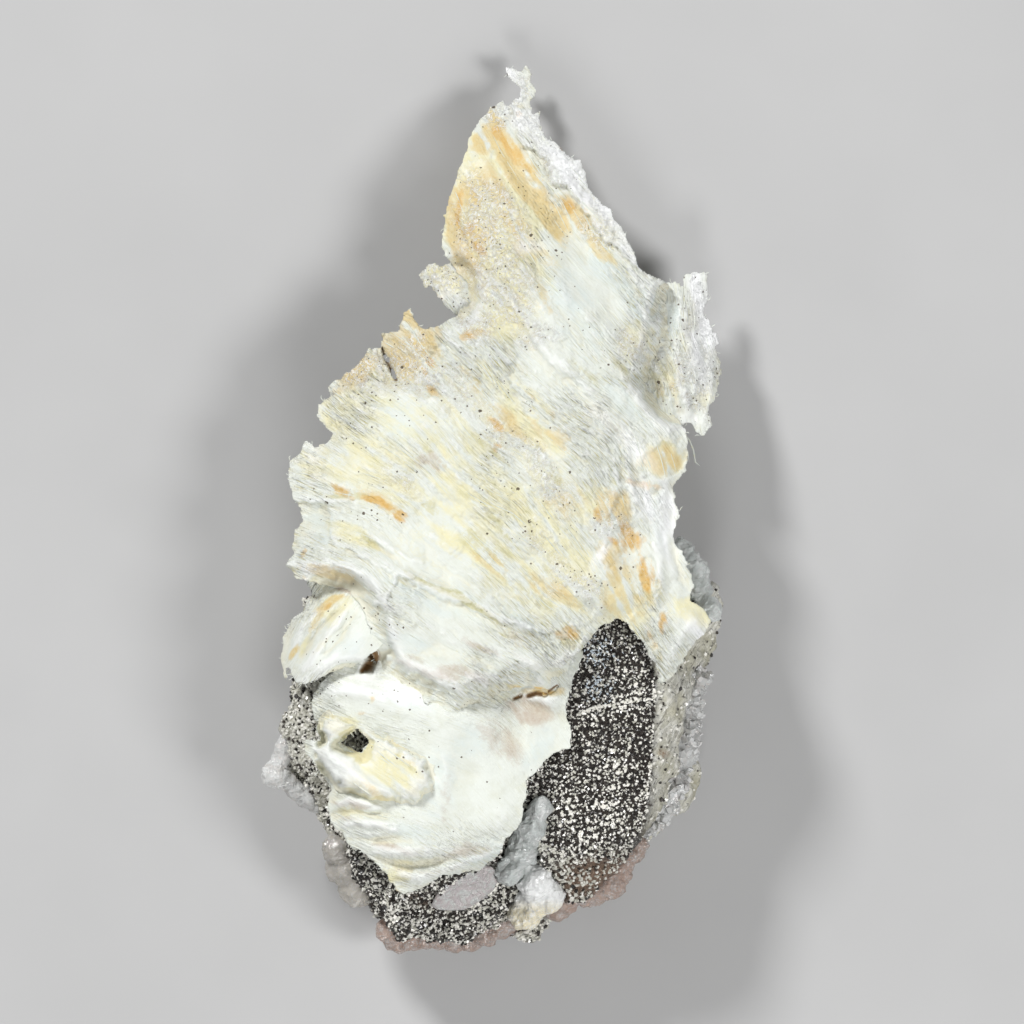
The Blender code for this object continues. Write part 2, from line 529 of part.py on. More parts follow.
def height_under(trees, x, y):
    """The highest point of the given pieces at (x, y), or none."""
    start = Vector((x, y, RAY_START)) * MM
    found = [tree.ray_cast(start, Vector((0, 0, -1)))[0] for tree in trees]
    heights = [hit.z / MM for hit in found if hit is not None]
    return max(heights) if heights else None


def line_distance(xs, ys, start, end):
    """How far each point is from a stretch of line."""
    (ax, ay), (bx, by) = start, end
    along = ((xs - ax) * (bx - ax) + (ys - ay) * (by - ay)) / ((bx - ax) ** 2 + (by - ay) ** 2)
    along = np.clip(along, 0.0, 1.0)
    return np.hypot(xs - ax - along * (bx - ax), ys - ay - along * (by - ay))


def outline_distance(xs, ys, outline):
    ring = zip(outline, outline[1:] + outline[:1])
    return np.min([line_distance(xs, ys, start, end) for start, end in ring], axis=0)


def smooth_step(value):
    value = np.clip(value, 0.0, 1.0)
    return value * value * (3 - 2 * value)


def fold_height(xs, ys, folds):
    total = np.zeros_like(xs)
    for start, end, width, height in folds:
        total += height * np.exp(-((line_distance(xs, ys, start, end) / width) ** 2))
    return total


def make_sheet(name, outline, level, folds, supports, parts, helpers, holes=()):
    """A felt sheet: it hangs at its own level, lifts over what is under it, and is torn to its outline."""
    cell, edge_thickness, full_thickness, reach = FELT_BODIES[name]
    low_x = min(x for x, _ in outline) - cell
    low_y = min(y for _, y in outline) - cell
    columns = math.ceil((max(x for x, _ in outline) + cell - low_x) / cell)
    rows = math.ceil((max(y for _, y in outline) + cell - low_y) / cell)
    xs, ys = np.meshgrid(
        low_x + cell * np.arange(columns + 1), low_y + cell * np.arange(rows + 1), indexing="ij"
    )
    under = level(xs, ys)
    trees = [tree_of(obj) for obj in supports]
    offsets = [(a * cell / 2, b * cell / 2) for a in PROBES for b in PROBES]
    for spot in np.ndindex(xs.shape):
        near = [height_under(trees, xs[spot] + dx, ys[spot] + dy) for dx, dy in offsets]
        near = [height for height in near if height is not None]
        if near:
            under[spot] = max(under[spot], max(near) + GAP)
    for _ in range(SETTLING_ROUNDS):
        ring = (under[:-2, 1:-1] + under[2:, 1:-1] + under[1:-1, :-2] + under[1:-1, 2:]) / 4
        under[1:-1, 1:-1] = np.maximum(under[1:-1, 1:-1], ring)
    inside = smooth_step(outline_distance(xs, ys, outline) / reach)
    thickness = edge_thickness + (full_thickness - edge_thickness) * inside
    top = under + np.maximum(thickness + fold_height(xs, ys, folds), edge_thickness)
    shape = bmesh.new()
    bmesh.ops.create_grid(shape, x_segments=columns, y_segments=rows, size=1.0)
    bmesh.ops.solidify(shape, geom=shape.faces[:], thickness=1.0)
    middle = sum(vertex.co.z for vertex in shape.verts) / len(shape.verts)
    for vertex in shape.verts:
        i = round((vertex.co.x + 1) / 2 * columns)
        j = round((vertex.co.y + 1) / 2 * rows)
        height = top[i, j] if vertex.co.z > middle else under[i, j]
        vertex.co = Vector((xs[i, j], ys[i, j], height)) * MM
    sheet = object_from_bmesh(name, shape, parts)
    torn = prism(name + "_torn_edge", outline, PRISM_LOW, PRISM_HIGH, helpers)
    combine(sheet, [torn], "INTERSECT")
    cutters = [prism(f"{name}_hole", hole, PRISM_LOW, PRISM_HIGH, helpers) for hole in holes]
    if cutters:
        combine(sheet, cutters, "DIFFERENCE")
    remove([torn, *cutters])
    keep_largest_body(sheet)
    return sheet


def main_level(xs, ys):
    """The big sheet's underside where nothing is below it: it arches down to the spire's tip."""
    up = np.clip((ys - ARCH_START) / ARCH_LENGTH, 0.0, 1.0)
    spine = ARCH_HEIGHT - ARCH_DROP * (STEADY_DROP * up + BENT_DROP * up * up)
    half_width = ARCH_HALF_WIDTH - ARCH_NARROWING * up
    aside = np.clip(np.abs(xs - ARCH_LEAN * up) / half_width, 0.0, ARCH_REACH)
    return np.maximum(spine - ARCH_SIDES * (1 - up) * aside**3, SPIRE_CLEARANCE)


def flap_level(xs, ys):
    """The curled flap comes out from under the big sheet and dives to the right."""
    beyond = np.maximum(xs - FLAP_ROOT, 0.0)
    level = main_level(np.minimum(xs, FLAP_ROOT), ys) - FLAP_BELOW - FLAP_DIVE * beyond**2
    return np.maximum(level, FLAP_CLEARANCE)


def tab_level(xs, ys):
    """The tab hangs from under the spire's left edge, a little lower at its free end."""
    beyond = np.maximum(TAB_ROOT - xs, 0.0)
    level = main_level(np.maximum(xs, TAB_ROOT), ys) - TAB_BELOW - TAB_DIVE * beyond**2
    return np.maximum(level, FLAP_CLEARANCE)


def tongue_level(xs, ys):
    """The tongue folds down over the rock's left side, the same all along Y."""
    return np.zeros_like(ys) + TONGUE_HEIGHT - TONGUE_DIVE * (TONGUE_ROOT - xs) ** 2


def low_level(xs, ys):
    """For a sheet that is carried by the rock nearly everywhere."""
    return LOW_HEIGHT - LOW_BEND * (xs**2) + LOW_RISE * (ys - LOW_MIDDLE)


def make_felt(supports, parts, helpers):
    """All the felt, from the lowest sheet up, each lying over those already made."""
    where = (parts, helpers)
    flap = make_sheet("curled_felt_flap", FLAP_OUTLINE, flap_level, FLAP_FOLDS, [], *where)
    tab = make_sheet("left_felt_tab", TAB_OUTLINE, tab_level, TAB_FOLDS, [], *where)
    apron = make_sheet(
        "lower_felt_apron", APRON_OUTLINE, low_level, APRON_FOLDS, supports, *where, [HOLE_OUTLINE]
    )
    carried = [*supports, apron]
    tongue = make_sheet(
        "left_felt_tongue", TONGUE_OUTLINE, tongue_level, TONGUE_FOLDS, carried, *where, [PIT_OUTLINE]
    )
    pocket = make_sheet(
        "cream_felt_pocket", POCKET_OUTLINE, low_level, POCKET_FOLDS, carried, *where, [HOLE_OUTLINE]
    )
    sheet = make_sheet(
        "main_felt_sheet", MAIN_OUTLINE, main_level, MAIN_FOLDS, [*carried, tongue, flap, tab], *where,
        [PIT_OUTLINE],
    )
    for obj, name in (
        (flap, "felt"), (tab, "cream_felt"), (apron, "felt"), (tongue, "felt"),
        (pocket, "cream_felt"), (sheet, "felt"),
    ):
        obj.data.materials.clear()
        obj.data.materials.append(finish(name))


def centre_on_origin(objects):
    """Puts the origin under the middle of the whole specimen."""
    points = np.array([vertex.co for obj in objects for vertex in obj.data.vertices])
    low, high = points.min(axis=0), points.max(axis=0)
    move = Matrix.Translation((-(low[0] + high[0]) / 2, -(low[1] + high[1]) / 2, -low[2]))
    for obj in objects:
        obj.data.transform(move)


def main():
    for obj in list(bpy.data.objects):
        bpy.data.objects.remove(obj)
    parts = collection("palygorskite_specimen")
    helpers = collection("cutters")
    rock = make_rock(parts, helpers)
    grown = []
    sockets = []
    for name, (habit, chain) in CALCITE.items():
        cluster, socket = make_cluster(name, habit, chain, parts, helpers)
        cluster.data.materials.clear()
        cluster.data.materials.append(finish("white_calcite" if name in WHITE_CLUSTERS else "calcite"))
        grown.append(cluster)
        sockets.append(socket)
    flake, socket = make_flake(parts, helpers)
    flake.data.materials.append(finish("calcite"))
    grown.append(flake)
    sockets.append(socket)
    for index, cluster in enumerate(grown):
        if index:
            combine(cluster, sockets[:index], "DIFFERENCE")
            keep_largest_body(cluster)
    combine(rock, sockets, "DIFFERENCE")
    keep_largest_body(rock)
    rock.data.materials.clear()
    rock.data.materials.append(finish("dolostone"))
    remove(sockets)
    make_felt([rock, *grown], parts, helpers)
    for piece in parts.objects:
        piece.data.polygons.foreach_set("use_smooth", [False] * len(piece.data.polygons))
    centre_on_origin(list(parts.objects))


main()
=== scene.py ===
"""A palygorskite specimen: torn white felt over dark dolostone, rimmed with calcite crystals.

Places on the front of the specimen are given as (across, down), in eighths of a millimetre from
the upper left corner of a frame around it. Sizes are in millimetres unless a line says otherwise.
"""

import itertools
import math
import random

import bmesh
import bpy
import numpy as np
from bpy.props import FloatProperty, FloatVectorProperty, IntProperty, PointerProperty
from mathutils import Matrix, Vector
from mathutils.bvhtree import BVHTree


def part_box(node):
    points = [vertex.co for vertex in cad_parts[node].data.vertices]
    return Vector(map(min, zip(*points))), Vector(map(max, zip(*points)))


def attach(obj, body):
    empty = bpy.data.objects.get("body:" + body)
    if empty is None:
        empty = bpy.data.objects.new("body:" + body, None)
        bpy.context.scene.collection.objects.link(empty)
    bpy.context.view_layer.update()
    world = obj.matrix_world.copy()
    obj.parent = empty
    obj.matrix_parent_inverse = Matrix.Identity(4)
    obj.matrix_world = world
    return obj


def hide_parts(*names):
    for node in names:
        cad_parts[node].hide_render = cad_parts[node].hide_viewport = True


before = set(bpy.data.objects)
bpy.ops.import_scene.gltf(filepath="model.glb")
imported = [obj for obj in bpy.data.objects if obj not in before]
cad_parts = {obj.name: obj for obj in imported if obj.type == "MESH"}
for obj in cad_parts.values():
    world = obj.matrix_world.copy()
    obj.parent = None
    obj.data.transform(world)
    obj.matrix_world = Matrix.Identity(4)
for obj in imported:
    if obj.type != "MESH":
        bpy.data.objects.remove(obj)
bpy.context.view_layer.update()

bl_info = {
    "name": "Palygorskite specimen",
    "version": (1, 0, 0),
    "blender": (4, 5, 0),
    "location": "3D View > Sidebar > Specimen",
    "description": "Torn mineral felt on dolostone with calcite crystals",
    "category": "Object",
}

MM = 0.001
STEPS_PER_MM = 8.0  # the unit of the places on the front
MIDDLE = (496.0, 508.0)  # the place that the outlines are counted from
FELT_LEFT, FELT_FOOT = -26.3, -26.9  # how far the big sheet reaches from there
felt_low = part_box("main_felt_sheet")[0]
SHIFT = (felt_low.x / MM - FELT_LEFT, felt_low.y / MM - FELT_FOOT)
FRAME_MIDDLE = (512, 512)  # the place that the camera looks at
FELT_FRONT = 0.020  # the height that the camera's distance counts from, in metres

# Which way the fibres run: across, down, and degrees
MAIN_FLOW = [
    (500, 180, -58), (470, 220, -70), (560, 260, -54), (620, 330, -50), (480, 300, -55),
    (450, 420, -46), (550, 450, -43), (620, 410, -48), (350, 390, -36), (330, 460, -24),
    (320, 520, -6), (400, 540, -36), (480, 600, -33), (400, 630, -20), (500, 665, -18),
    (560, 590, -38), (640, 470, -70), (665, 560, -76), (690, 600, -64), (610, 560, -70),
    (580, 640, -44), (310, 575, -18), (545, 120, -50), (600, 200, -52),
]
APRON_FLOW = [
    (370, 700, -14), (470, 720, -22), (540, 720, -58), (480, 800, -64), (400, 850, -8),
    (350, 820, -20), (470, 860, 12), (525, 770, -82), (350, 740, -34),
]
TONGUE_FLOW = [(330, 620, 52), (300, 640, 68), (370, 630, 48), (340, 660, 40)]
POCKET_FLOW = [(340, 765, -38), (400, 775, -32), (340, 720, -10)]
FLAP_FLOW = [(690, 300, -86), (705, 400, -78), (660, 350, -58)]
TAB_FLOW = [(440, 280, -50)]

# Stains on the big sheet, with rosy painted shade in its folds, valleys and under edges: across, down, half
# length, half width, degrees, strength
MAIN_STAINS = {
    "cream": [
        (470, 480, 170, 90, -44, 0.42), (350, 450, 60, 60, 0, 0.40), (540, 590, 70, 30, -40, 0.50),
        (488, 206, 84, 50, -66, 1.3), (500, 290, 50, 34, -50, 0.75), (600, 235, 44, 14, -55, 0.55),
        (410, 365, 34, 26, 30, 0.75), (340, 410, 34, 20, 40, 0.60), (365, 372, 28, 12, 38, 0.70),
        (495, 328, 24, 18, -10, 0.85), (520, 410, 62, 22, -52, 0.70), (470, 480, 52, 26, -42, 0.72),
        (540, 520, 62, 26, -46, 0.78), (570, 560, 40, 20, -38, 0.72), (480, 560, 70, 14, -34, 0.70),
        (380, 470, 56, 20, -40, 0.62), (310, 465, 14, 16, 0, 0.80), (640, 345, 26, 22, -60, 0.42),
        (600, 420, 42, 14, -40, 0.45), (664, 458, 26, 17, -10, 0.80), (630, 598, 32, 30, 0, 0.80),
        (690, 612, 24, 14, -30, 0.75), (430, 420, 30, 14, -45, 0.45), (352, 535, 34, 12, -26, 0.55),
        (585, 500, 34, 26, -50, 0.62), (505, 632, 34, 8, -30, 0.30), (570, 648, 12, 30, -30, 0.50),
    ],
    "tan": [
        (514, 160, 44, 15, -56, 1.9), (548, 212, 26, 12, -54, 1.3), (536, 690, 30, 4, -6, 0.8),
        (528, 180, 60, 12, -57, 1.5), (488, 136, 20, 13, 40, 1.4), (573, 213, 24, 9, -60, 0.90),
        (454, 218, 9, 38, 4, 0.95), (476, 186, 20, 28, -20, 0.72), (503, 206, 56, 14, -62, 0.66),
        (478, 234, 14, 24, -20, 0.62), (466, 264, 20, 16, -40, 0.58), (536, 246, 30, 8, -55, 0.50),
        (602, 252, 26, 6, -50, 0.50), (410, 350, 34, 28, 50, 0.78), (409, 324, 8, 18, 12, 1.0),
        (358, 370, 34, 13, 38, 0.80), (434, 384, 8, 14, 0, 0.65), (664, 460, 22, 13, -8, 0.80),
        (531, 412, 8, 30, 22, 0.35), (630, 588, 30, 32, 0, 0.55), (545, 300, 40, 8, -55, 0.30),
        (478, 334, 12, 8, 0, 0.60), (330, 575, 36, 9, -14, 0.42), (616, 508, 22, 16, -60, 0.62),
        (550, 590, 36, 10, -30, 0.42), (498, 566, 26, 12, -30, 0.52), (568, 500, 22, 20, -50, 0.50),
        (556, 430, 24, 12, -50, 0.40), (505, 420, 30, 8, -45, 0.42), (380, 500, 26, 8, -30, 0.50),
        (610, 556, 20, 12, -40, 0.62), (470, 380, 30, 8, -48, 0.30), (655, 648, 6, 24, 32, 0.55),
    ],
    "amber": [
        (540, 690, 24, 3, -6, 0.9), (508, 150, 20, 4, -58, 0.9),
        (495, 136, 7, 5, -40, 1.0), (437, 388, 8, 9, 0, 0.95), (428, 366, 5, 13, -12, 0.70),
        (376, 500, 16, 4, -24, 0.80), (398, 514, 10, 5, -30, 0.80), (494, 427, 10, 5, -28, 0.50),
        (496, 446, 6, 5, 0, 0.60), (600, 516, 5, 8, 0, 0.65), (611, 542, 10, 4, -40, 0.60),
        (628, 540, 8, 14, 8, 1.0), (647, 574, 8, 19, 6, 1.0), (643, 482, 18, 5, -16, 0.55),
        (571, 631, 13, 8, 0, 0.55), (665, 622, 5, 10, 0, 0.80), (568, 205, 10, 6, -55, 0.80),
        (520, 112, 5, 4, 0, 0.80), (303, 549, 3, 5, 0, 0.60), (522, 158, 34, 5, -60, 0.62),
        (342, 490, 14, 5, -30, 0.60), (458, 206, 4, 20, 4, 0.72), (478, 250, 10, 5, -50, 0.60),
        (470, 228, 6, 10, -20, 0.50), (640, 540, 6, 10, 0, 0.60), (472, 337, 8, 5, 0, 0.55),
        (654, 640, 3, 14, 32, 0.70),
    ],
    "snow": [
        (574, 172, 84, 15, -52, 1.0), (512, 84, 12, 34, 0, 1.0), (520, 118, 14, 16, 0, 0.8),
        (632, 262, 30, 9, -56, 0.9), (616, 430, 44, 10, -46, 0.7), (456, 130, 18, 5, 62, 0.7),
        (530, 242, 16, 7, 0, 0.6), (668, 520, 10, 40, 6, 0.8), (645, 500, 12, 30, 20, 0.6),
        (600, 552, 20, 6, 60, 0.6), (700, 640, 12, 24, 30, 0.8), (312, 440, 10, 30, 0, 0.4),
    ],
    "olive": [
        (382, 546, 30, 4.5, -33, 0.85), (455, 598, 60, 4.5, -29, 0.80), (490, 552, 34, 14, -35, 0.45),
        (345, 494, 26, 5, 4, 0.50), (428, 510, 14, 8, -40, 0.50), (486, 512, 50, 4, -42, 0.50),
        (540, 600, 40, 5, -36, 0.42), (500, 458, 50, 5, -44, 0.45), (432, 452, 12, 12, 0, 0.30),
        (585, 378, 34, 5, -44, 0.36), (560, 480, 46, 5, -46, 0.40), (506, 344, 16, 8, -20, 0.45),
        (342, 606, 18, 5, 24, 0.55), (620, 372, 22, 6, -60, 0.30),
    ],
    "rosy_shade": [
        (434, 463, 18, 9, -8, 0.80), (330, 576, 34, 8, -16, 0.55), (345, 590, 20, 5, -20, 0.60),
        (404, 660, 26, 8, -6, 0.60), (455, 674, 42, 9, -12, 0.55), (363, 385, 16, 6, 40, 0.40),
        (478, 335, 9, 7, 0, 0.50), (520, 640, 20, 8, -30, 0.28), (664, 384, 9, 9, 0, 0.35),
        (500, 655, 50, 8, -16, 0.35),
    ],
    "cool": [
        (400, 418, 28, 17, -55, 0.85), (317, 522, 15, 20, 10, 0.90), (570, 300, 56, 22, -52, 0.60),
        (604, 268, 40, 16, -48, 0.75), (640, 300, 26, 20, -50, 0.60), (440, 600, 60, 16, -18, 0.60),
        (400, 640, 40, 12, -8, 0.55), (520, 620, 44, 12, -26, 0.45), (620, 400, 50, 10, -46, 0.45),
        (660, 520, 12, 44, 6, 0.50), (455, 530, 26, 8, -34, 0.45), (508, 660, 44, 10, -20, 0.45),
        (470, 380, 44, 12, -48, 0.35), (575, 340, 40, 14, -50, 0.50), (600, 575, 6, 18, 0, 0.5),
    ],
}
# Stains and rosy painted shade on the lower sheets and side flaps, given as on the big sheet
APRON_STAINS = {
    "cream": [
        (345, 728, 18, 12, 0, 0.90), (400, 870, 14, 26, -60, 0.60), (350, 812, 16, 10, 0, 0.50),
        (500, 700, 30, 8, 0, 0.25), (470, 690, 40, 12, -16, 0.35), (372, 702, 5, 4, 0, 0.8),
    ],
    "rosy_shade": [
        (530, 714, 24, 15, -6, 0.85), (350, 805, 20, 5, -12, 0.62), (360, 825, 26, 4, -14, 0.55),
        (390, 848, 32, 5, -10, 0.62), (420, 868, 34, 5, -4, 0.55), (500, 740, 30, 14, -50, 0.40),
        (448, 795, 8, 30, 0, 0.30), (465, 850, 34, 8, 10, 0.40),
    ],
    "snow": [(380, 690, 60, 16, -10, 0.5)],
    "cool": [
        (400, 700, 30, 14, -12, 0.70), (440, 780, 26, 40, 0, 0.45), (400, 830, 50, 10, -6, 0.50),
        (485, 850, 30, 18, 20, 0.50), (540, 745, 14, 26, -40, 0.55), (470, 740, 24, 24, 0, 0.40),
    ],
    "amber": [(373, 702, 4, 3, 0, 0.75), (456, 688, 6, 8, 0, 0.70), (362, 716, 5, 3, 0, 0.35)],
    "tan": [(390, 886, 24, 5, -34, 0.40), (545, 692, 22, 5, 8, 0.60)],
    "olive": [],
}
TONGUE_STAINS = {
    "cream": [(330, 612, 26, 12, 30, 0.60), (300, 645, 20, 6, 62, 0.60)],
    "tan": [(330, 604, 18, 4, 24, 0.85), (293, 652, 3, 10, -20, 0.90), (316, 616, 16, 4, 50, 0.5)],
    "amber": [(328, 607, 6, 3, 24, 0.45)],
    "rosy_shade": [(345, 590, 18, 5, -20, 0.60)],
    "olive": [(320, 640, 18, 4, 58, 0.40)],
    "cool": [(350, 650, 26, 18, 30, 0.45)],
    "snow": [],
}
POCKET_STAINS = {
    "cream": [(338, 722, 16, 14, 0, 1.0), (385, 768, 40, 22, -32, 1.0), (372, 790, 30, 12, -20, 0.8)],
    "tan": [(334, 716, 12, 8, 0, 0.30), (376, 790, 22, 6, -36, 0.42), (398, 752, 24, 6, -30, 0.32)],
    "amber": [(326, 738, 5, 6, 0, 0.25), (366, 742, 6, 5, 0, 0.28)],
    "olive": [(350, 770, 22, 4, -38, 0.42), (400, 760, 24, 3, -34, 0.30)],
    "rosy_shade": [(366, 740, 7, 10, 0, 0.30)],
    "cool": [],
    "snow": [(350, 768, 26, 6, -38, 0.5)],
}
FLAP_STAINS = {
    "cream": [(668, 380, 26, 20, -60, 0.55), (705, 400, 12, 20, 0, 0.45), (690, 330, 12, 40, 0, 0.30)],
    "tan": [(664, 392, 12, 24, -40, 0.30), (700, 412, 6, 12, 0, 0.20)],
    "amber": [(662, 384, 6, 7, 0, 0.20)],
    "rosy_shade": [(664, 384, 14, 12, 0, 0.40), (678, 410, 14, 8, -40, 0.30)],
    "snow": [(704, 330, 14, 60, 0, 0.8), (698, 288, 10, 20, 0, 0.9), (690, 420, 16, 6, 0, 0.6)],
    "olive": [(700, 404, 8, 4, 40, 0.40)],
    "cool": [(665, 315, 22, 16, -40, 0.75), (704, 340, 9, 30, 0, 0.50)],
}
TAB_STAINS = {
    "cream": [(440, 280, 20, 16, 0, 0.90)],
    "tan": [(436, 290, 6, 16, 40, 0.60), (448, 262, 10, 8, 0, 0.30)],
    "amber": [(430, 286, 4, 5, 0, 0.40)],
    "rosy_shade": [],
    "olive": [(440, 276, 10, 6, 0, 0.30)],
    "cool": [],
    "snow": [(444, 292, 8, 6, 30, 0.6)],
}

# Where the felt carries a sugary crust: across, down, half length, half width, degrees, strength
MAIN_CRUST = [
    (490, 240, 70, 36, -68, 0.85), (575, 175, 82, 15, -52, 1.0), (505, 300, 60, 34, -48, 0.75),
    (408, 366, 30, 24, 20, 0.80), (362, 374, 30, 13, 38, 1.0), (330, 420, 26, 26, 0, 0.35),
    (470, 400, 74, 22, -48, 0.55), (540, 470, 80, 22, -46, 0.50), (640, 345, 30, 24, -60, 0.65),
    (505, 110, 22, 14, 20, 1.0), (515, 80, 14, 20, 0, 0.9), (575, 580, 46, 20, -42, 0.45),
    (680, 300, 24, 24, 0, 0.45), (400, 480, 40, 12, -40, 0.45), (610, 520, 26, 22, 0, 0.50),
    (480, 330, 30, 14, -20, 0.75), (600, 235, 40, 14, -55, 0.60), (530, 545, 34, 16, -44, 0.45),
]
FLAP_CRUST = [(700, 350, 18, 80, 0, 0.85), (665, 330, 26, 34, 0, 0.45), (698, 290, 9, 20, 0, 1.0)]
TAB_CRUST = [(440, 282, 30, 26, 0, 0.9)]
POCKET_CRUST = [(334, 722, 14, 10, 0, 0.4)]
# Where dark specks lie close together
MAIN_SPECKS = [
    (520, 220, 60, 36, -60, 1.0), (480, 260, 40, 28, -60, 0.9), (560, 300, 60, 30, -50, 0.45),
    (500, 400, 70, 24, -46, 0.8), (530, 500, 90, 34, -46, 0.8), (570, 560, 50, 24, -40, 0.8),
    (400, 400, 50, 40, 0, 0.55), (350, 500, 50, 50, 0, 0.35), (370, 610, 34, 20, -30, 0.75),
    (640, 350, 40, 30, 0, 0.55), (625, 545, 20, 20, 0, 0.6), (500, 628, 26, 8, -30, 0.7),
    (440, 690, 60, 14, -10, 0.25),
]
APRON_SPECKS = [(370, 700, 40, 26, 0, 0.75), (400, 750, 26, 14, -30, 0.6), (480, 740, 70, 80, 0, 0.12)]
TONGUE_SPECKS = [(340, 640, 40, 26, 0, 0.85)]
POCKET_SPECKS = [(345, 715, 30, 12, 0, 0.5), (395, 755, 40, 14, -30, 0.25)]
SOME_SPECKS = [(500, 500, 900, 900, 0, 0.55)]
# Where the felt is smooth
MAIN_SMOOTH = [
    (588, 282, 62, 26, -50, 1.0), (440, 612, 66, 16, -15, 0.75), (405, 648, 54, 18, -8, 1.0),
    (500, 655, 70, 14, -15, 0.8), (400, 418, 24, 17, -55, 0.7), (317, 522, 16, 18, 0, 0.8),
    (618, 404, 44, 12, -45, 0.8), (668, 545, 14, 60, 0, 0.8), (522, 160, 40, 9, -57, 0.7),
    (664, 462, 24, 16, 0, 0.8), (625, 600, 22, 26, 0, 0.8), (690, 612, 30, 20, 0, 0.7),
]
APRON_SMOOTH = [(440, 780, 110, 80, 0, 0.7), (530, 715, 30, 20, 0, 0.9), (410, 700, 70, 20, -10, 0.8)]
# Where a sheet's edge lies down on what is under it
MAIN_SETTLED = [
    (420, 690, 76, 40, -14, 1.0), (366, 615, 50, 66, 0, 1.0), (520, 696, 70, 28, 0, 1.0),
    (672, 345, 30, 84, 0, 1.0), (454, 284, 44, 48, 0, 1.0), (344, 590, 36, 16, -10, 0.9),
]
TONGUE_SETTLED = [(350, 684, 34, 20, -20, 1.0)]
POCKET_SETTLED = [(400, 760, 120, 80, 0, 1.0)]
# Where the big sheet lies on top of another one, without diving into it
LAID_OVER = [(374, 612, 60, 36, 90, 1.0), (340, 590, 40, 20, -16, 1.0), (462, 286, 40, 50, 0, 1.0)]
# Where a sheet reaches on, over or under its neighbour, and how far
MAIN_GROWN = [(382, 612, 46, 26, 90, 1.0)]
TONGUE_COVERED = [(382, 610, 40, 50, 0, 1.0), (330, 578, 50, 18, -10, 1.0)]
TAB_GROWN = [(466, 284, 14, 24, 0, 1.0)]
GROWTH = {
    "main_felt_sheet": (1.7, MAIN_GROWN), "left_felt_tongue": (1.3, TONGUE_COVERED),
    "left_felt_tab": (1.8, TAB_GROWN),
}
# Where the tab is lifted to the big sheet, and how far
TAB_RAISED = [(478, 284, 30, 46, 0, 1.0)]
TAB_LIFT = 1.1
# Painted brown shade under the big sheet's edge, which is also sunk in: corners of a line, half width and
# depth
APRON_SHADE = [
    ([(375, 648), (372, 658), (367, 668)], 0.75, 0.8), ([(366, 667), (362, 671)], 0.4, 0.5),
    ([(514, 699), (521, 696)], 0.25, 0.4), ([(528, 696), (537, 693), (545, 695)], 0.32, 0.5),
    ([(550, 692), (557, 686)], 0.26, 0.4),
]
# Cracks, sunk in and painted with dark brown shade: corners of a line, half width and depth
MAIN_CRACKS = [
    ([(382, 348), (387, 362), (396, 380)], 0.16, 0.8),
    ([(372, 646), (376, 656), (373, 672)], 0.62, 0.9),
    ([(444, 268), (452, 280)], 0.2, 0.4),
    ([(512, 697), (519, 694)], 0.22, 0.6),
    ([(524, 695), (533, 692), (541, 694)], 0.26, 0.7),
    ([(546, 693), (552, 689), (558, 683)], 0.24, 0.7),
    ([(560, 146), (563, 149)], 0.15, 0.3),
]

# Steps where an upper layer of felt ends: corners, and how much higher the inside is
SPIRE_RIM = [
    (512, 104), (534, 106), (546, 124), (562, 144), (588, 162), (604, 184), (618, 204), (640, 246),
    (652, 268), (640, 272), (624, 254), (602, 236), (590, 222), (578, 200), (566, 186), (552, 182),
    (548, 164), (534, 150), (522, 146), (518, 128),
]
TAN_FLAP = [
    (376, 352), (384, 330), (402, 306), (416, 316), (424, 330), (446, 326), (440, 346), (432, 360),
    (434, 376), (440, 396), (424, 402), (404, 392), (386, 382),
]
AMBER_WINDOWS = [
    [(645, 452), (664, 440), (684, 444), (690, 460), (678, 476), (656, 480), (643, 470)],
    [(640, 596), (646, 560), (652, 556), (658, 574), (660, 596), (650, 606)],
    [(620, 552), (626, 528), (634, 530), (638, 548), (632, 556)],
    [(606, 548), (604, 538), (614, 540), (617, 548)],
    [(634, 482), (650, 472), (668, 488), (652, 496), (636, 492)],
    [(604, 620), (602, 580), (612, 558), (636, 566), (640, 600), (628, 626)],
]
LOWER_STEP = [
    (398, 574), (420, 588), (452, 602), (484, 614), (512, 624), (540, 634), (566, 640), (580, 640),
    (566, 690), (460, 730), (380, 670), (370, 640), (386, 610), (392, 590),
]
LEFT_STEP = [
    (300, 500), (328, 502), (330, 540), (360, 556), (398, 574), (392, 590), (350, 600), (290, 580),
    (280, 540),
]
MAIN_LAYERS = [(SPIRE_RIM, 0.80), (TAN_FLAP, -0.45), (LOWER_STEP, -0.35), (LEFT_STEP, -0.35)]
WINDOW_LAYER = (-0.20, 0.3)  # how deep the amber windows lie, and the width of their rims
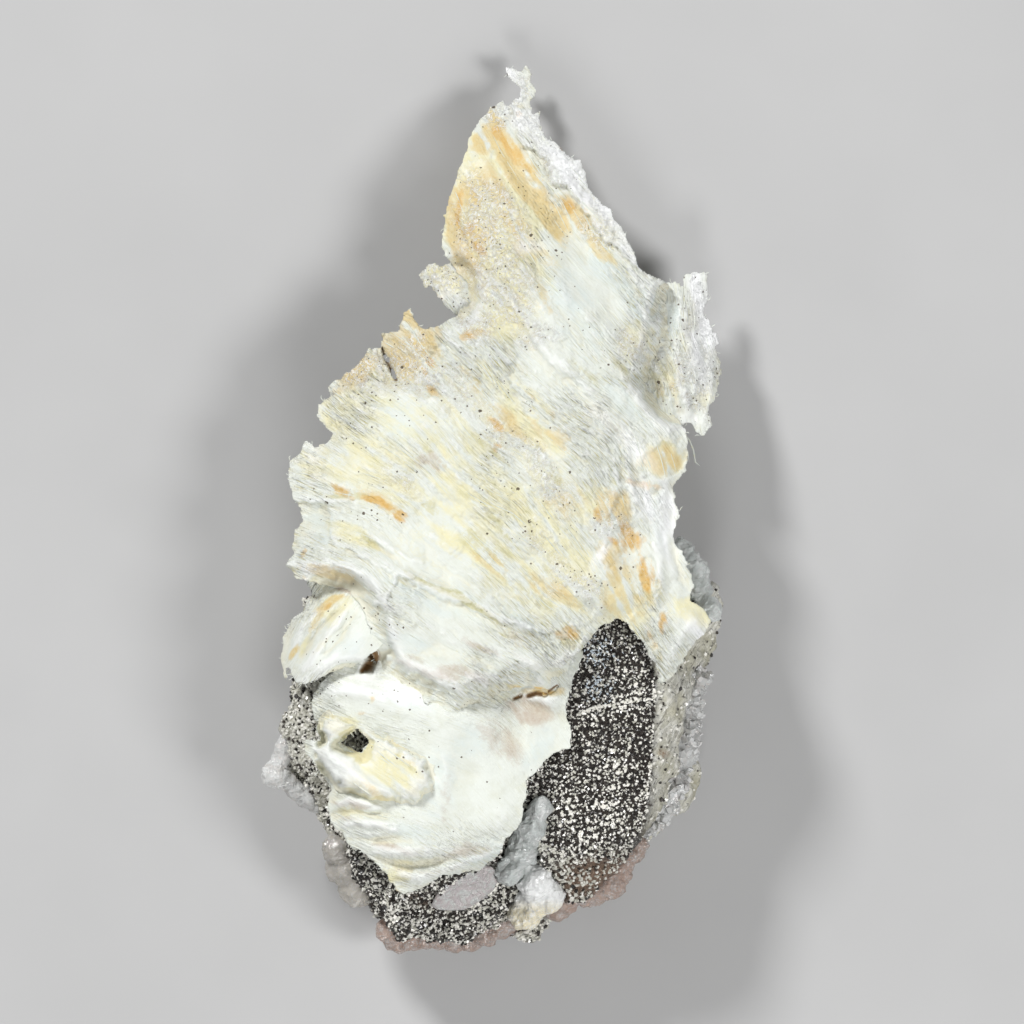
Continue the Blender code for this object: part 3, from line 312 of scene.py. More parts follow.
# Folds: corners of a line, half width and height, where a negative height is a groove
MAIN_FOLDS = [
    ([(497, 136), (512, 160), (530, 190), (552, 220), (580, 250)], 1.1, -0.75),
    ([(470, 150), (452, 200), (444, 250)], 0.9, 0.5),
    ([(462, 190), (466, 230), (474, 266)], 0.5, -0.45),
    ([(400, 571), (430, 586), (470, 602), (510, 622), (548, 634)], 0.55, 0.42),
    ([(362, 530), (392, 548), (420, 566)], 0.5, 0.42),
    ([(366, 540), (398, 561)], 0.35, -0.40),
    ([(384, 640), (376, 620), (380, 604)], 0.45, -0.5),
    ([(296, 568), (330, 562), (366, 574), (384, 590)], 0.6, 0.5),
    ([(300, 578), (336, 574), (362, 590)], 0.5, -0.5),
    ([(306, 590), (340, 586), (362, 600)], 0.5, 0.45),
    ([(300, 505), (340, 500), (360, 498)], 0.5, 0.35),
    ([(400, 652), (440, 650), (490, 668), (540, 690)], 1.3, -0.6),
    ([(380, 676), (430, 680), (480, 690)], 1.5, 0.35),
    ([(575, 645), (556, 670), (540, 694), (505, 706), (480, 722)], 0.6, 0.5),
    ([(590, 630), (574, 656), (568, 690)], 0.5, 0.5),
    ([(700, 610), (680, 640), (664, 676)], 0.8, 0.4),
    ([(640, 640), (652, 660), (662, 680)], 0.5, 0.45),
    ([(625, 450), (630, 480), (636, 500)], 0.35, 0.5),
    ([(612, 452), (618, 486), (606, 520)], 0.35, 0.4),
    ([(574, 400), (590, 420), (606, 446), (620, 470)], 1.1, 0.5),
    ([(648, 384), (664, 404), (684, 430)], 0.9, 0.5),
    ([(636, 400), (650, 380), (668, 372)], 0.35, 0.35),
    ([(505, 290), (530, 330), (560, 366), (600, 400)], 0.7, 0.4),
    ([(540, 262), (580, 310), (620, 350)], 1.3, 0.35),
    ([(430, 330), (470, 370), (520, 420), (560, 466)], 0.6, -0.3),
    ([(655, 520), (660, 560), (656, 600)], 0.9, 0.45),
    ([(672, 500), (676, 560), (690, 590)], 0.6, -0.4),
    ([(382, 350), (388, 364), (395, 378)], 0.35, -0.7),
]
APRON_FOLDS = [
    ([(332, 806), (350, 800), (376, 806)], 0.45, 0.68),
    ([(334, 816), (352, 811), (384, 816)], 0.40, -0.68),
    ([(338, 826), (360, 822), (392, 826)], 0.50, 0.68),
    ([(352, 838), (380, 840), (410, 838)], 0.50, -0.63),
    ([(366, 848), (392, 853), (424, 850)], 0.60, 0.75),
    ([(380, 860), (410, 866), (450, 858)], 0.55, -0.63),
    ([(388, 872), (420, 878), (452, 868), (500, 850)], 0.70, 0.68),
    ([(440, 742), (446, 770), (442, 800)], 1.0, 0.52),
    ([(520, 690), (546, 700), (566, 704)], 0.8, 0.75),
    ([(500, 730), (526, 746), (548, 742)], 1.6, -0.75),
    ([(320, 690), (360, 692), (400, 706)], 1.0, 0.60),
    ([(470, 700), (490, 730), (486, 760)], 1.4, 0.45),
]
TONGUE_FOLDS = [
    ([(322, 606), (300, 630), (287, 664)], 0.6, 0.5),
    ([(340, 608), (318, 630), (300, 662)], 0.45, -0.5),
    ([(350, 606), (330, 632), (306, 668)], 0.5, 0.55),
    ([(356, 612), (340, 640), (320, 660)], 0.4, -0.35),
]
POCKET_FOLDS = [
    ([(318, 742), (350, 770), (384, 800)], 0.5, 0.4),
    ([(330, 740), (364, 770), (400, 798)], 0.4, -0.3),
    ([(372, 742), (408, 752), (432, 758)], 0.4, 0.3),
    ([(436, 762), (438, 784), (424, 804)], 0.4, 0.4),
    ([(326, 722), (342, 714), (352, 722)], 0.6, 0.5),
]
FLAP_FOLDS = [
    ([(676, 330), (680, 380), (690, 420)], 0.8, 0.45),
    ([(668, 340), (672, 380), (682, 412)], 0.5, -0.4),
    ([(712, 330), (714, 380), (706, 420)], 0.6, 0.4),
]
# Loose hairs: corners, each with its height in millimetres
LOOSE_HAIRS = [
    [(684, 432, 9.8), (690, 440, 9.6), (694, 450, 9.4), (696, 462, 9.2), (701, 466, 9.2)],
    [(684, 440, 9.6), (688, 452, 9.4), (690, 462, 9.2)],
    [(626, 446, 17.4), (630, 462, 17.6), (631, 480, 17.5), (628, 496, 17.2)],
    [(632, 468, 17.2), (646, 474, 17.0), (660, 482, 16.6)],
    [(420, 652, 23.6), (421, 666, 23.6), (425, 680, 23.5)],
    [(450, 686, 23.4), (470, 688, 23.3), (494, 700, 23.2)],
    [(458, 672, 23.6), (454, 684, 23.6), (462, 694, 23.5)],
    [(398, 806, 23.4), (412, 812, 23.2), (420, 806, 23.2)],
]


def settings():
    """The specimen's settings on the scene."""
    return bpy.context.scene.specimen


def spot(across, down):
    """A place on the front in millimetres."""
    return (across - MIDDLE[0]) / STEPS_PER_MM, (MIDDLE[1] - down) / STEPS_PER_MM


def placed(x, y, height):
    """A place in the scene, in metres, from millimetres on the front and a height in millimetres."""
    return (x + SHIFT[0]) * MM, (y + SHIFT[1]) * MM, height * MM


def fine(cell):
    return cell * 1.0


# Random fields


def lattice(cells, seed):
    """A fixed random number from 0 to 1 for each whole-number place."""
    mixed = np.full(cells.shape[:-1], (seed * 2654435761) % 2**32, np.uint64)
    for axis, factor in zip(range(cells.shape[-1]), (73856093, 19349663, 83492791)):
        mixed ^= cells[..., axis].astype(np.int64).astype(np.uint64) * np.uint64(factor)
    for _ in range(2):
        mixed &= np.uint64(0xFFFFFFFF)
        mixed = (mixed ^ (mixed >> np.uint64(16))) * np.uint64(0x45D9F3B)
    return ((mixed >> np.uint64(8)) & np.uint64(0xFFFF)) / 65535.0


def lumps(points, size, seed, octaves=1):
    """Smooth random lumps from about -1 to 1, of that size, with finer ones on them."""
    total, share, whole = 0.0, 1.0, 0.0
    axes = points.shape[-1]
    for octave in range(octaves):
        place = points / size * 2.0**octave + 17.3 * octave
        cell = np.floor(place)
        part = place - cell
        part = part * part * (3 - 2 * part)
        value = 0.0
        for corner in itertools.product((0, 1), repeat=axes):
            weight = np.prod(np.where(corner, part, 1 - part), axis=-1)
            value = value + weight * lattice(cell + corner, seed + octave)
        total = total + share * (2 * value - 1)
        whole += share
        share *= 0.5
    return total / whole * 1.5


def grains(points, size, seed):
    """Rounded grains packed side by side: 1 on top of each and 0 between them."""
    place = points / size
    cell = np.floor(place)
    nearest = np.full(points.shape[:-1], 9.0)
    axes = points.shape[-1]
    for offset in itertools.product((-1, 0, 1), repeat=axes):
        other = cell + offset
        centre = other + np.stack([lattice(other, seed + axis) for axis in range(axes)], axis=-1)
        nearest = np.minimum(nearest, np.linalg.norm(place - centre, axis=-1))
    return np.clip(1 - nearest, 0, 1)


def blurred(field, reach):
    """The field averaged over about that many cells around each point."""
    steps = math.ceil(2.5 * reach)
    weights = np.exp(-0.5 * (np.arange(-steps, steps + 1) / reach) ** 2)
    weights /= weights.sum()
    for axis in (0, 1):
        count = field.shape[axis]
        edges = [(steps, steps) if axis == which else (0, 0) for which in (0, 1)]
        padded = np.pad(field, edges, mode="edge")
        field = sum(
            weight * np.take(padded, range(step, step + count), axis)
            for step, weight in enumerate(weights)
        )
    return field


def smooth_step(value):
    """0 up to 0, 1 from 1 on, and a smooth climb between them."""
    value = np.clip(value, 0.0, 1.0)
    return value * value * (3 - 2 * value)


def line_distance(xs, ys, start, end):
    """How far each point is from a straight line between two places."""
    (ax, ay), (bx, by) = start, end
    length = max((bx - ax) ** 2 + (by - ay) ** 2, 1e-12)
    along = np.clip(((xs - ax) * (bx - ax) + (ys - ay) * (by - ay)) / length, 0.0, 1.0)
    return np.hypot(xs - ax - along * (bx - ax), ys - ay - along * (by - ay))


def path_distance(xs, ys, path):
    """How far each point is from a line of corners."""
    corners = [spot(*corner) for corner in path]
    return np.min([line_distance(xs, ys, a, b) for a, b in zip(corners, corners[1:])], axis=0)


def ring_depth(xs, ys, ring):
    """How far inside a ring of corners each point is, negative outside."""
    corners = [spot(*corner) for corner in ring]
    away = np.full(xs.shape, 1e3)
    within = np.zeros(xs.shape, bool)
    for start, end in zip(corners, corners[1:] + corners[:1]):
        away = np.minimum(away, line_distance(xs, ys, start, end))
        (ax, ay), (bx, by) = start, end
        if ay != by:
            crosses = (ay > ys) != (by > ys)
            within ^= crosses & (xs < ax + (ys - ay) / (by - ay) * (bx - ax))
    return np.where(within, away, -away)


def patches(xs, ys, spots, wobble=(0.0, 0.0)):
    """The strongest of some soft oval patches at each point."""
    total = np.zeros(xs.shape)
    for across, down, half_length, half_width, degrees, strength in spots:
        x, y = spot(across, down)
        turn = math.radians(degrees)
        dx, dy = xs - x + wobble[0], ys - y + wobble[1]
        along = (dx * math.cos(turn) + dy * math.sin(turn)) * STEPS_PER_MM / half_length
        aside = (dy * math.cos(turn) - dx * math.sin(turn)) * STEPS_PER_MM / half_width
        total = np.maximum(total, strength * np.exp(-((along**2 + aside**2) ** 1.5)))
    return total


def flow_of(xs, ys, guides):
    """The way that the fibres run at each point, from a few guides."""
    cosine, sine = 0.0, 0.0
    for across, down, degrees in guides:
        x, y = spot(across, down)
        weight = ((xs - x) ** 2 + (ys - y) ** 2 + 4.0) ** -1.5
        cosine = cosine + weight * math.cos(math.radians(2 * degrees))
        sine = sine + weight * math.sin(math.radians(2 * degrees))
    angle = np.arctan2(sine, cosine) / 2
    usual = math.atan2(sine.sum(), cosine.sum()) / 2
    return np.where(np.cos(angle - usual) < 0, angle + np.pi, angle)


def mirrored(field, sign_x, sign_y):
    """The field with its mirror images beside it, so that it repeats without a seam."""
    wide = np.concatenate([field, sign_x * field[::-1]], axis=0)
    return np.concatenate([wide, sign_y * wide[:, ::-1]], axis=1)


class Sheet:
    """A felt sheet on a fine grid: how far in its torn edge is, its two faces, its flow and its fields."""

    def __init__(self, node, cell, guides, seed, soften=1.3):
        self.cell = cell
        self.seed = seed
        shape = bmesh.new()
        shape.from_mesh(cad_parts[node].data)
        bmesh.ops.remove_doubles(shape, verts=shape.verts, dist=1e-7)
        shape.normal_update()
        tree = BVHTree.FromBMesh(shape)
        low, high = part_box(node)
        margin = 4 * cell
        start = [low[axis] / MM - SHIFT[axis] - margin for axis in (0, 1)]
        stop = [high[axis] / MM - SHIFT[axis] + margin for axis in (0, 1)]
        self.xs, self.ys = np.meshgrid(
            np.arange(start[0], stop[0], cell), np.arange(start[1], stop[1], cell), indexing="ij"
        )
        self.points = np.stack([self.xs, self.ys], axis=-1)
        self.read_heights(tree, high.z, low.z)
        self.read_edge(shape)
        shape.free()
        self.soften(soften)
        reach, grown = GROWTH.get(node, (0.0, []))
        self.edge += reach * patches(self.xs, self.ys, grown)
        wander = 0.24 * lumps(self.points, 4.0, seed + 50, 3)
        self.angle = flow_of(self.xs, self.ys, guides) + wander
        self.fields = {}
        self.lay_lengths()

    def read_heights(self, tree, high, low):
        """The solid's upper and lower faces under each grid point."""
        self.top = np.zeros(self.xs.shape)
        self.under = np.zeros(self.xs.shape)
        self.inside = np.zeros(self.xs.shape, bool)
        down, up = Vector((0, 0, -1)), Vector((0, 0, 1))
        for place in np.ndindex(self.xs.shape):
            x = (self.xs[place] + SHIFT[0]) * MM
            y = (self.ys[place] + SHIFT[1]) * MM
            hit = tree.ray_cast(Vector((x, y, high + MM)), down)[0]
            if hit is not None:
                self.inside[place] = True
                self.top[place] = hit.z / MM
                self.under[place] = tree.ray_cast(Vector((x, y, low - MM)), up)[0].z / MM

    def read_edge(self, shape):
        """How far in from the solid's torn edge each grid point is, negative outside."""
        away = np.full(self.xs.shape, 1e3, np.float32)
        xs, ys = self.xs.astype(np.float32), self.ys.astype(np.float32)
        for edge in shape.edges:
            ups = [abs(face.normal.z) < 0.02 for face in edge.link_faces]
            tops = [face.normal.z > 0.05 for face in edge.link_faces]
            if any(ups) and any(tops):
                ends = [
                    (vertex.co.x / MM - SHIFT[0], vertex.co.y / MM - SHIFT[1]) for vertex in edge.verts
                ]
                away = np.minimum(away, line_distance(xs, ys, *ends))
        self.edge = np.where(self.inside, away, -away).astype(float)

    def soften(self, reach):
        """Melts the solid's facets, and carries its faces on past its edge."""
        cells = reach / self.cell
        share = blurred(self.inside.astype(float), cells) + 1e-6
        self.top = blurred(self.top * self.inside, cells) / share
        self.under = blurred(self.under * self.inside, cells) / share

    def lay_lengths(self):
        """How far along and across the fibres each point is, on a smooth map that follows the flow."""
        rows, columns = self.xs.shape
        wave_x = 2j * np.pi * np.fft.fftfreq(2 * rows)[:, None] / self.cell
        wave_y = 2j * np.pi * np.fft.fftfreq(2 * columns)[None] / self.cell
        power = np.abs(wave_x) ** 2 + np.abs(wave_y) ** 2
        power[0, 0] = 1.0
        cosine, sine = np.cos(self.angle), np.sin(self.angle)
        for name, way in (("along", (cosine, sine)), ("across", (-sine, cosine))):
            slope_x = np.fft.fft2(mirrored(way[0], -1, 1))
            slope_y = np.fft.fft2(mirrored(way[1], 1, -1))
            wave = (np.conj(wave_x) * slope_x + np.conj(wave_y) * slope_y) / power
            self.fields[name] = np.fft.ifft2(wave).real[:rows, :columns]

    def strands(self, width, length, seed):
        """Noise drawn out along the flow, with a spread of about 1."""
        dice = np.random.default_rng(seed)
        grain = dice.standard_normal(self.xs.shape)
        if width > 0:
            grain = blurred(grain, width / self.cell)
        step_x, step_y = np.cos(self.angle), np.sin(self.angle)
        rows, columns = self.xs.shape
        total = np.zeros(self.xs.shape)
        for way in (1.0, -1.0):
            place_x, place_y = np.indices(self.xs.shape).astype(float)
            for _ in range(int(length / self.cell / 2)):
                i = np.clip(np.rint(place_x), 0, rows - 1).astype(int)
                j = np.clip(np.rint(place_y), 0, columns - 1).astype(int)
                total += grain[i, j]
                place_x += way * step_x[i, j]
                place_y += way * step_y[i, j]
        return total / total.std()

    def tear(self, amount):
        """Frays the edge, more along the fibres than across them."""
        rough = lumps(self.points, 1.8, self.seed + 1, 2) + 0.9 * lumps(self.points, 0.75, self.seed + 3, 2)
        self.edge = self.edge + amount * (rough + 0.35 * self.strands(0.2, 2.5, self.seed + 2))

    def raise_folds(self, folds):
        """Raises rounded folds, or sinks grooves, that fade towards their ends."""
        rough = lumps(self.points, 1.8, self.seed + 9, 2)
        for line, width, height in folds:
            away = path_distance(self.xs, self.ys, line)
            ends = np.min(
                [np.hypot(self.xs - x, self.ys - y) for x, y in (spot(*line[0]), spot(*line[-1]))], axis=0
            )
            fade = 0.35 + 0.65 * smooth_step(ends / (3 * width))
            self.top += height * fade * np.exp(-(((away + 0.25 * rough) / width) ** 2))

    def raise_layer(self, ring, height, edge=0.35):
        """Lifts or sinks the inside of a ring of corners by a ragged step."""
        depth = ring_depth(self.xs, self.ys, ring)
        depth = depth + 0.45 * lumps(self.points, 1.4, self.seed + 20, 3)
        self.top += height * smooth_step(depth / edge + 0.5)

    def raise_grain(self, crust, smooth, heights):
        """Raises fibres, torn layers, wrinkles and crust, each by its own height."""
        wobble = 1.6 * np.stack(
            [lumps(self.points, 3.5, self.seed + 30, 2), lumps(self.points, 3.5, self.seed + 31, 2)]
        )
        crusted = patches(self.xs, self.ys, crust, wobble)
        breaks = 0.5 + 0.5 * lumps(self.points, 2.2, self.seed + 32, 3)
        crusted = smooth_step(crusted * 1.5 * (0.55 + breaks) - 0.15)
        small = grains(self.points, 0.55, self.seed + 33)
        large = grains(self.points + 0.3 * wobble[0][..., None], 1.3, self.seed + 35)
        crumbs = lumps(self.points, 0.55, self.seed + 37, 2)
        sugar = 0.45 * small + 0.35 * large + 0.16 * crumbs
        fine_fibre = self.strands(0.0, 3.6, self.seed + 40)
        broad_fibre = self.strands(0.30, 5.5, self.seed + 41)
        wide_fibre = self.strands(0.8, 9.0, self.seed + 42)
        broken = np.clip(0.9 + 0.8 * lumps(self.points, 2.0, self.seed + 47, 3), 0.25, 1.6)
        calm = 1 - 0.85 * patches(self.xs, self.ys, smooth, wobble)
        fibrous = (1 - 0.6 * crusted) * (0.62 + 0.45 * lumps(self.points, 6.0, self.seed + 43)) * calm
        fibrous = np.clip(fibrous, 0.10, 1.0)
        torn = 0.5 * self.strands(0.5, 6.0, self.seed + 45) + 1.2 * lumps(self.points, 3.0, self.seed + 46, 4)
        layers = sum(smooth_step((torn - level) / 0.16) for level in (-1.1, -0.4, 0.3, 1.0))
        rise = heights["fibre"] * fibrous * broken * (
            0.40 * fine_fibre + 0.75 * broad_fibre + 0.70 * wide_fibre
        )
        rise += heights["layer"] * np.clip(calm, 0.2, 1) * (layers - 2)
        rise += heights["wrinkle"] * lumps(self.points, 5.5, self.seed + 44, 3)
        rise += heights["crust"] * crusted * (sugar - 0.42)
        self.top += np.clip(rise, -0.9, 0.6)
        self.fields["crust"] = crusted
        # Where the material paints shade between the crust's grains
        self.fields["pore_shade"] = crusted * np.clip(0.8 - 1.9 * sugar, 0, 1)
        self.fields["fibre"] = np.clip(0.5 + 0.20 * fine_fibre + 0.20 * broad_fibre, 0, 1)
        self.fibrous = fibrous
        self.fields["fibrous"] = fibrous

    def stain(self, stains, specks):
        """Lays the fields of the stains and of the rosy painted shade, streaked along the fibres, and of the
        specks.
        """
        wobble = np.stack(
            [lumps(self.points, 4.0, self.seed + 60, 3), lumps(self.points, 4.0, self.seed + 61, 3)]
        )
        streaks = self.strands(0.22, 6.0, self.seed + 62)
        cloud = lumps(self.points, 2.0, self.seed + 63, 4)
        for kind, spots in stains.items():
            field = patches(self.xs, self.ys, spots, 0.6 * wobble)
            self.fields[kind] = np.clip(field * (1.0 + 0.36 * streaks + 0.45 * cloud), 0, 1)
        self.fields["specks"] = patches(self.xs, self.ys, specks, 2.0 * wobble)

    def crack(self, lines):
        """Opens narrow gaps along lines of corners, each with its half width and depth, and marks them for
        painted dark shade.
        """
        gap = np.zeros(self.xs.shape)
        rough = lumps(self.points, 0.9, self.seed + 65, 3)
        for line, width, depth in lines:
            away = path_distance(self.xs, self.ys, line)
            here = smooth_step(1.3 - (away + 0.3 * width * rough) / width)
            self.top -= depth * here
            gap = np.maximum(gap, here)
        self.fields["gap"] = gap

    def close(self, thinnest, settled=(), reach=1.4, covered=()):
        """Brings the two faces together at the torn edge. Settled parts come down to their underside,
        and covered ones keep their height."""
        inward = smooth_step(self.edge / reach)
        inward = np.maximum(inward, smooth_step(2 * patches(self.xs, self.ys, covered)))
        body = np.maximum(self.top - self.under, thinnest)
        rim = thinnest * (1.0 + 0.3 * lumps(self.points, 1.0, self.seed + 70))
        low = np.clip(patches(self.xs, self.ys, settled), 0, 1)
        least = 0.35 * (1 - low)
        thickness = np.maximum(rim + (body - rim) * (least + (1 - least) * inward), 0.15)
        self.top -= (0.25 + 0.75 * low) * (body - thickness)
        self.under = self.top - thickness

    def rest_on(self, others, settled, sunk, reach=4.0):
        """Lets the edge down to the sheets below, inside the settled patches, until it dives in."""
        low = smooth_step(1.6 * patches(self.xs, self.ys, settled))
        raised = 1 - smooth_step((self.edge - 0.3) / reach)
        below = np.full(self.xs.shape, -99.0)
        for other in others:
            height = other.sample(other.top, self.xs, self.ys, -99.0)
            below = np.where(other.sample(other.edge, self.xs, self.ys, -99.0) > 0.3, height, below)
        held = (below > -90).astype(float)
        share = blurred(held, 0.9 / self.cell) + 1e-6
        level = blurred(below * held, 0.9 / self.cell) / share
        within = smooth_step(share * 2.2 - 0.1)
        drop = np.maximum(self.top - level + sunk, 0.0) * raised * low * within
        self.top -= drop
        self.under -= drop

    def sample(self, field, xs, ys, beyond):
        """The field at other places, or the given value beyond the grid."""
        i = (xs - self.xs[0, 0]) / self.cell
        j = (ys - self.ys[0, 0]) / self.cell
        rows, columns = field.shape
        held = (i >= 0) & (j >= 0) & (i < rows - 1) & (j < columns - 1)
        i, j = np.where(held, i, 0.0), np.where(held, j, 0.0)
        a, b = i.astype(int), j.astype(int)
        u, v = i - a, j - b
        value = (1 - v) * ((1 - u) * field[a, b] + u * field[a + 1, b])
        value += v * ((1 - u) * field[a, b + 1] + u * field[a + 1, b + 1])
        return np.where(held, value, beyond)

    def read_relief(self):
        """How far each point stands out of its surroundings, from 0 in a hollow to 1 on a crest."""
        # The felt's material paints highlights on the crests and shade in the hollows from this field
        hollow = (self.top - blurred(self.top, 0.45 / self.cell)) / 0.22
        broad_hollow = (self.top - blurred(self.top, 1.2 / self.cell)) / 0.7
        self.fields["relief"] = np.clip(0.5 + 0.35 * hollow + 0.30 * broad_hollow, 0, 1)

    def mesh(self, name, block=4):
        """The sheet as one closed mesh. Its edge points are drawn to the torn edge, and its underside
        is coarser: blocks of cells, each a fan of triangles that meets the finer cells around it."""
        slope_x, slope_y = np.gradient(self.edge, self.cell)
        steep = np.maximum(slope_x**2 + slope_y**2, 0.3)
        near = (self.edge < 0.5 * self.cell) & (self.edge > -0.75 * self.cell)
        pull = np.where(near, self.edge / steep, 0.0)
        pull = np.clip(pull, -0.7 * self.cell, 0.7 * self.cell)
        xs = self.xs - pull * slope_x
        ys = self.ys - pull * slope_y
        kept = self.edge > -0.75 * self.cell
        cells = kept[:-1, :-1] & kept[1:, :-1] & kept[1:, 1:] & kept[:-1, 1:]
        cells = largest_island(cells)
        number = np.arange(xs.size).reshape(xs.shape)
        corners = [number[:-1, :-1], number[1:, :-1], number[1:, 1:], number[:-1, 1:]]
        quads = [np.stack([corner[cells] for corner in corners], axis=-1)]
        around = np.pad(cells, 1)
        rows, columns = cells.shape
        sides = (((0, -1), (0, 1)), ((1, 0), (1, 2)), ((0, 1), (2, 3)), ((-1, 0), (3, 0)))
        for (dx, dy), (first, second) in sides:
            open_side = cells & ~around[1 + dx : 1 + dx + rows, 1 + dy : 1 + dy + columns]
            start, end = corners[first][open_side], corners[second][open_side]
            quads.append(np.stack([end, start, start + xs.size, end + xs.size], axis=-1))
        count_x, count_y = rows // block, columns // block
        whole = cells[: count_x * block, : count_y * block]
        whole = whole.reshape(count_x, block, count_y, block).all(axis=(1, 3))
        single = cells.copy()
        single[: count_x * block, : count_y * block] &= ~np.kron(whole, np.ones((block, block))).astype(bool)
        quads.append(np.stack([corner[single] for corner in corners[::-1]], axis=-1) + xs.size)
        block_x, block_y = np.nonzero(whole)
        block_x, block_y = block_x * block, block_y * block
        centre = number[block_x + block // 2, block_y + block // 2]
        framed = np.pad(whole, 1)
        fans = []
        ring = ((0, 0), (block, 0), (block, block), (0, block), (0, 0))
        for side, ((dx, dy), _) in enumerate(sides):
            beside = framed[block_x // block + 1 + dx, block_y // block + 1 + dy]
            for from_step, to_step, chosen in [(0, block, beside)] + [
                (step, step + 1, ~beside) for step in range(block)
            ]:
                ends = []
                (x, y), (next_x, next_y) = ring[side], ring[side + 1]
                for step in (from_step, to_step):
                    corner_x = block_x + x + (next_x - x) * step // block
                    corner_y = block_y + y + (next_y - y) * step // block
                    ends.append(number[corner_x, corner_y][chosen])
                fans.append(np.stack([centre[chosen], ends[1], ends[0]], axis=-1) + xs.size)
        quads, fans = np.concatenate(quads), np.concatenate(fans)
        used = np.unique(np.concatenate([quads.reshape(-1), fans.reshape(-1)]))
        renumber = np.zeros(2 * xs.size, int)
        renumber[used] = np.arange(used.size)
        plan = np.stack([xs + SHIFT[0], ys + SHIFT[1]], axis=-1).reshape(-1, 2)
        upper = np.column_stack([plan, self.top.reshape(-1)])
        lower = np.column_stack([plan, self.under.reshape(-1)])
        points = np.concatenate([upper, lower])[used] * MM
        made = new_object(name, points, renumber[quads], renumber[fans])
        for kind, field in self.fields.items():
            values = np.concatenate([field.reshape(-1)] * 2)[used]
            add_field(made, kind, values)
        return made

    def height_at(self, x, y):
        """Height, distance from the edge, flow and fibre share at the nearest grid point."""
        i = int(np.clip(round((x - self.xs[0, 0]) / self.cell), 0, self.xs.shape[0] - 1))
        j = int(np.clip(round((y - self.ys[0, 0]) / self.cell), 0, self.xs.shape[1] - 1))
        return self.top[i, j], self.edge[i, j], self.angle[i, j], self.fibrous[i, j]


def largest_island(cells):
    """Keeps the largest group of cells that touch side by side."""
    label = np.where(cells, np.arange(1, cells.size + 1).reshape(cells.shape), 0)
    while True:
        around = np.pad(label, 1)
        grown = np.max(
            [label, around[:-2, 1:-1], around[2:, 1:-1], around[1:-1, :-2], around[1:-1, 2:]], axis=0
        )
        grown = np.where(cells, grown, 0)
        # jump ahead: each cell takes the label of the cell that its label came from
        flat = grown.reshape(-1)
        held = flat > 0
        flat[held] = np.maximum(flat[held], flat[flat[held] - 1])
        if np.array_equal(grown, label):
            break
        label = grown
    names, counts = np.unique(label[label > 0], return_counts=True)
    return label == names[counts.argmax()]


def new_object(name, points, *faces, smooth=True):
    """An object from arrays of points and of faces. Each array's faces have equally many corners."""
    mesh = bpy.data.meshes.new(name)
    mesh.vertices.add(len(points))
    mesh.vertices.foreach_set("co", np.asarray(points, np.float32).reshape(-1))
    corners = np.concatenate([some.reshape(-1) for some in faces])
    sizes = np.concatenate([np.full(len(some), some.shape[1]) for some in faces])
    mesh.loops.add(corners.size)
    mesh.loops.foreach_set("vertex_index", corners.astype(np.int32))
    mesh.polygons.add(sizes.size)
    mesh.polygons.foreach_set("loop_start", (np.cumsum(sizes) - sizes).astype(np.int32))
    mesh.update(calc_edges=True)
    mesh.polygons.foreach_set("use_smooth", np.full(sizes.size, smooth))
    mesh.validate()
    made = bpy.data.objects.new(name, mesh)
    bpy.context.scene.collection.objects.link(made)
    return made


def add_field(obj, name, values):
    """Stores a number per vertex for the material to read."""
    field = obj.data.attributes.new(name, "FLOAT", "POINT")
    field.data.foreach_set("value", np.asarray(values, np.float32))


def points_of(obj):
    """The places of an object's vertices, in metres."""
    points = np.empty(3 * len(obj.data.vertices), np.float32)
    obj.data.vertices.foreach_get("co", points)
    return points.reshape(-1, 3).astype(float)


def normals_of(obj):
    """The directions that an object's vertices face."""
    normals = np.empty(3 * len(obj.data.vertices), np.float32)
    obj.data.vertices.foreach_get("normal", normals)
    return normals.reshape(-1, 3).astype(float)


def fine_copy(name, node, cell, smoothing):
    """A finely and evenly meshed copy of a solid, with its facets melted."""
    made = bpy.data.objects.new(name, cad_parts[node].data.copy())
    bpy.context.scene.collection.objects.link(made)
    remesh = made.modifiers.new("fine_mesh", "REMESH")
    remesh.mode = "VOXEL"
    remesh.voxel_size = fine(cell) * MM
    remesh.use_smooth_shade = True
    if smoothing:
        melt = made.modifiers.new("melt", "SMOOTH")
        melt.factor = 0.5
        melt.iterations = smoothing
    graph = bpy.context.evaluated_depsgraph_get()
    mesh = bpy.data.meshes.new_from_object(made.evaluated_get(graph))
    made.modifiers.clear()
    made.data = mesh
    return made


def random_turns(count, dice):
    """Random rotations as matrices."""
    quaternions = dice.standard_normal((count, 4))
    w, x, y, z = (quaternions / np.linalg.norm(quaternions, axis=1, keepdims=True)).T
    return np.array([
        [1 - 2 * (y * y + z * z), 2 * (x * y - z * w), 2 * (x * z + y * w)],
        [2 * (x * y + z * w), 1 - 2 * (x * x + z * z), 2 * (y * z - x * w)],
        [2 * (x * z - y * w), 2 * (y * z + x * w), 1 - 2 * (x * x + y * y)],
    ]).transpose(2, 0, 1)


def rhomb():
    """A calcite rhomb of about unit size: a cube squeezed along one diagonal."""
    points = np.array(list(itertools.product((-0.5, 0.5), repeat=3)))
    diagonal = np.ones(3) / math.sqrt(3)
    points = points - 0.26 * np.outer(points @ diagonal, diagonal)
    faces = np.array([(0, 1, 3, 2), (4, 6, 7, 5), (0, 4, 5, 1), (2, 3, 7, 6), (0, 2, 6, 4), (1, 5, 7, 3)])
    return points, faces


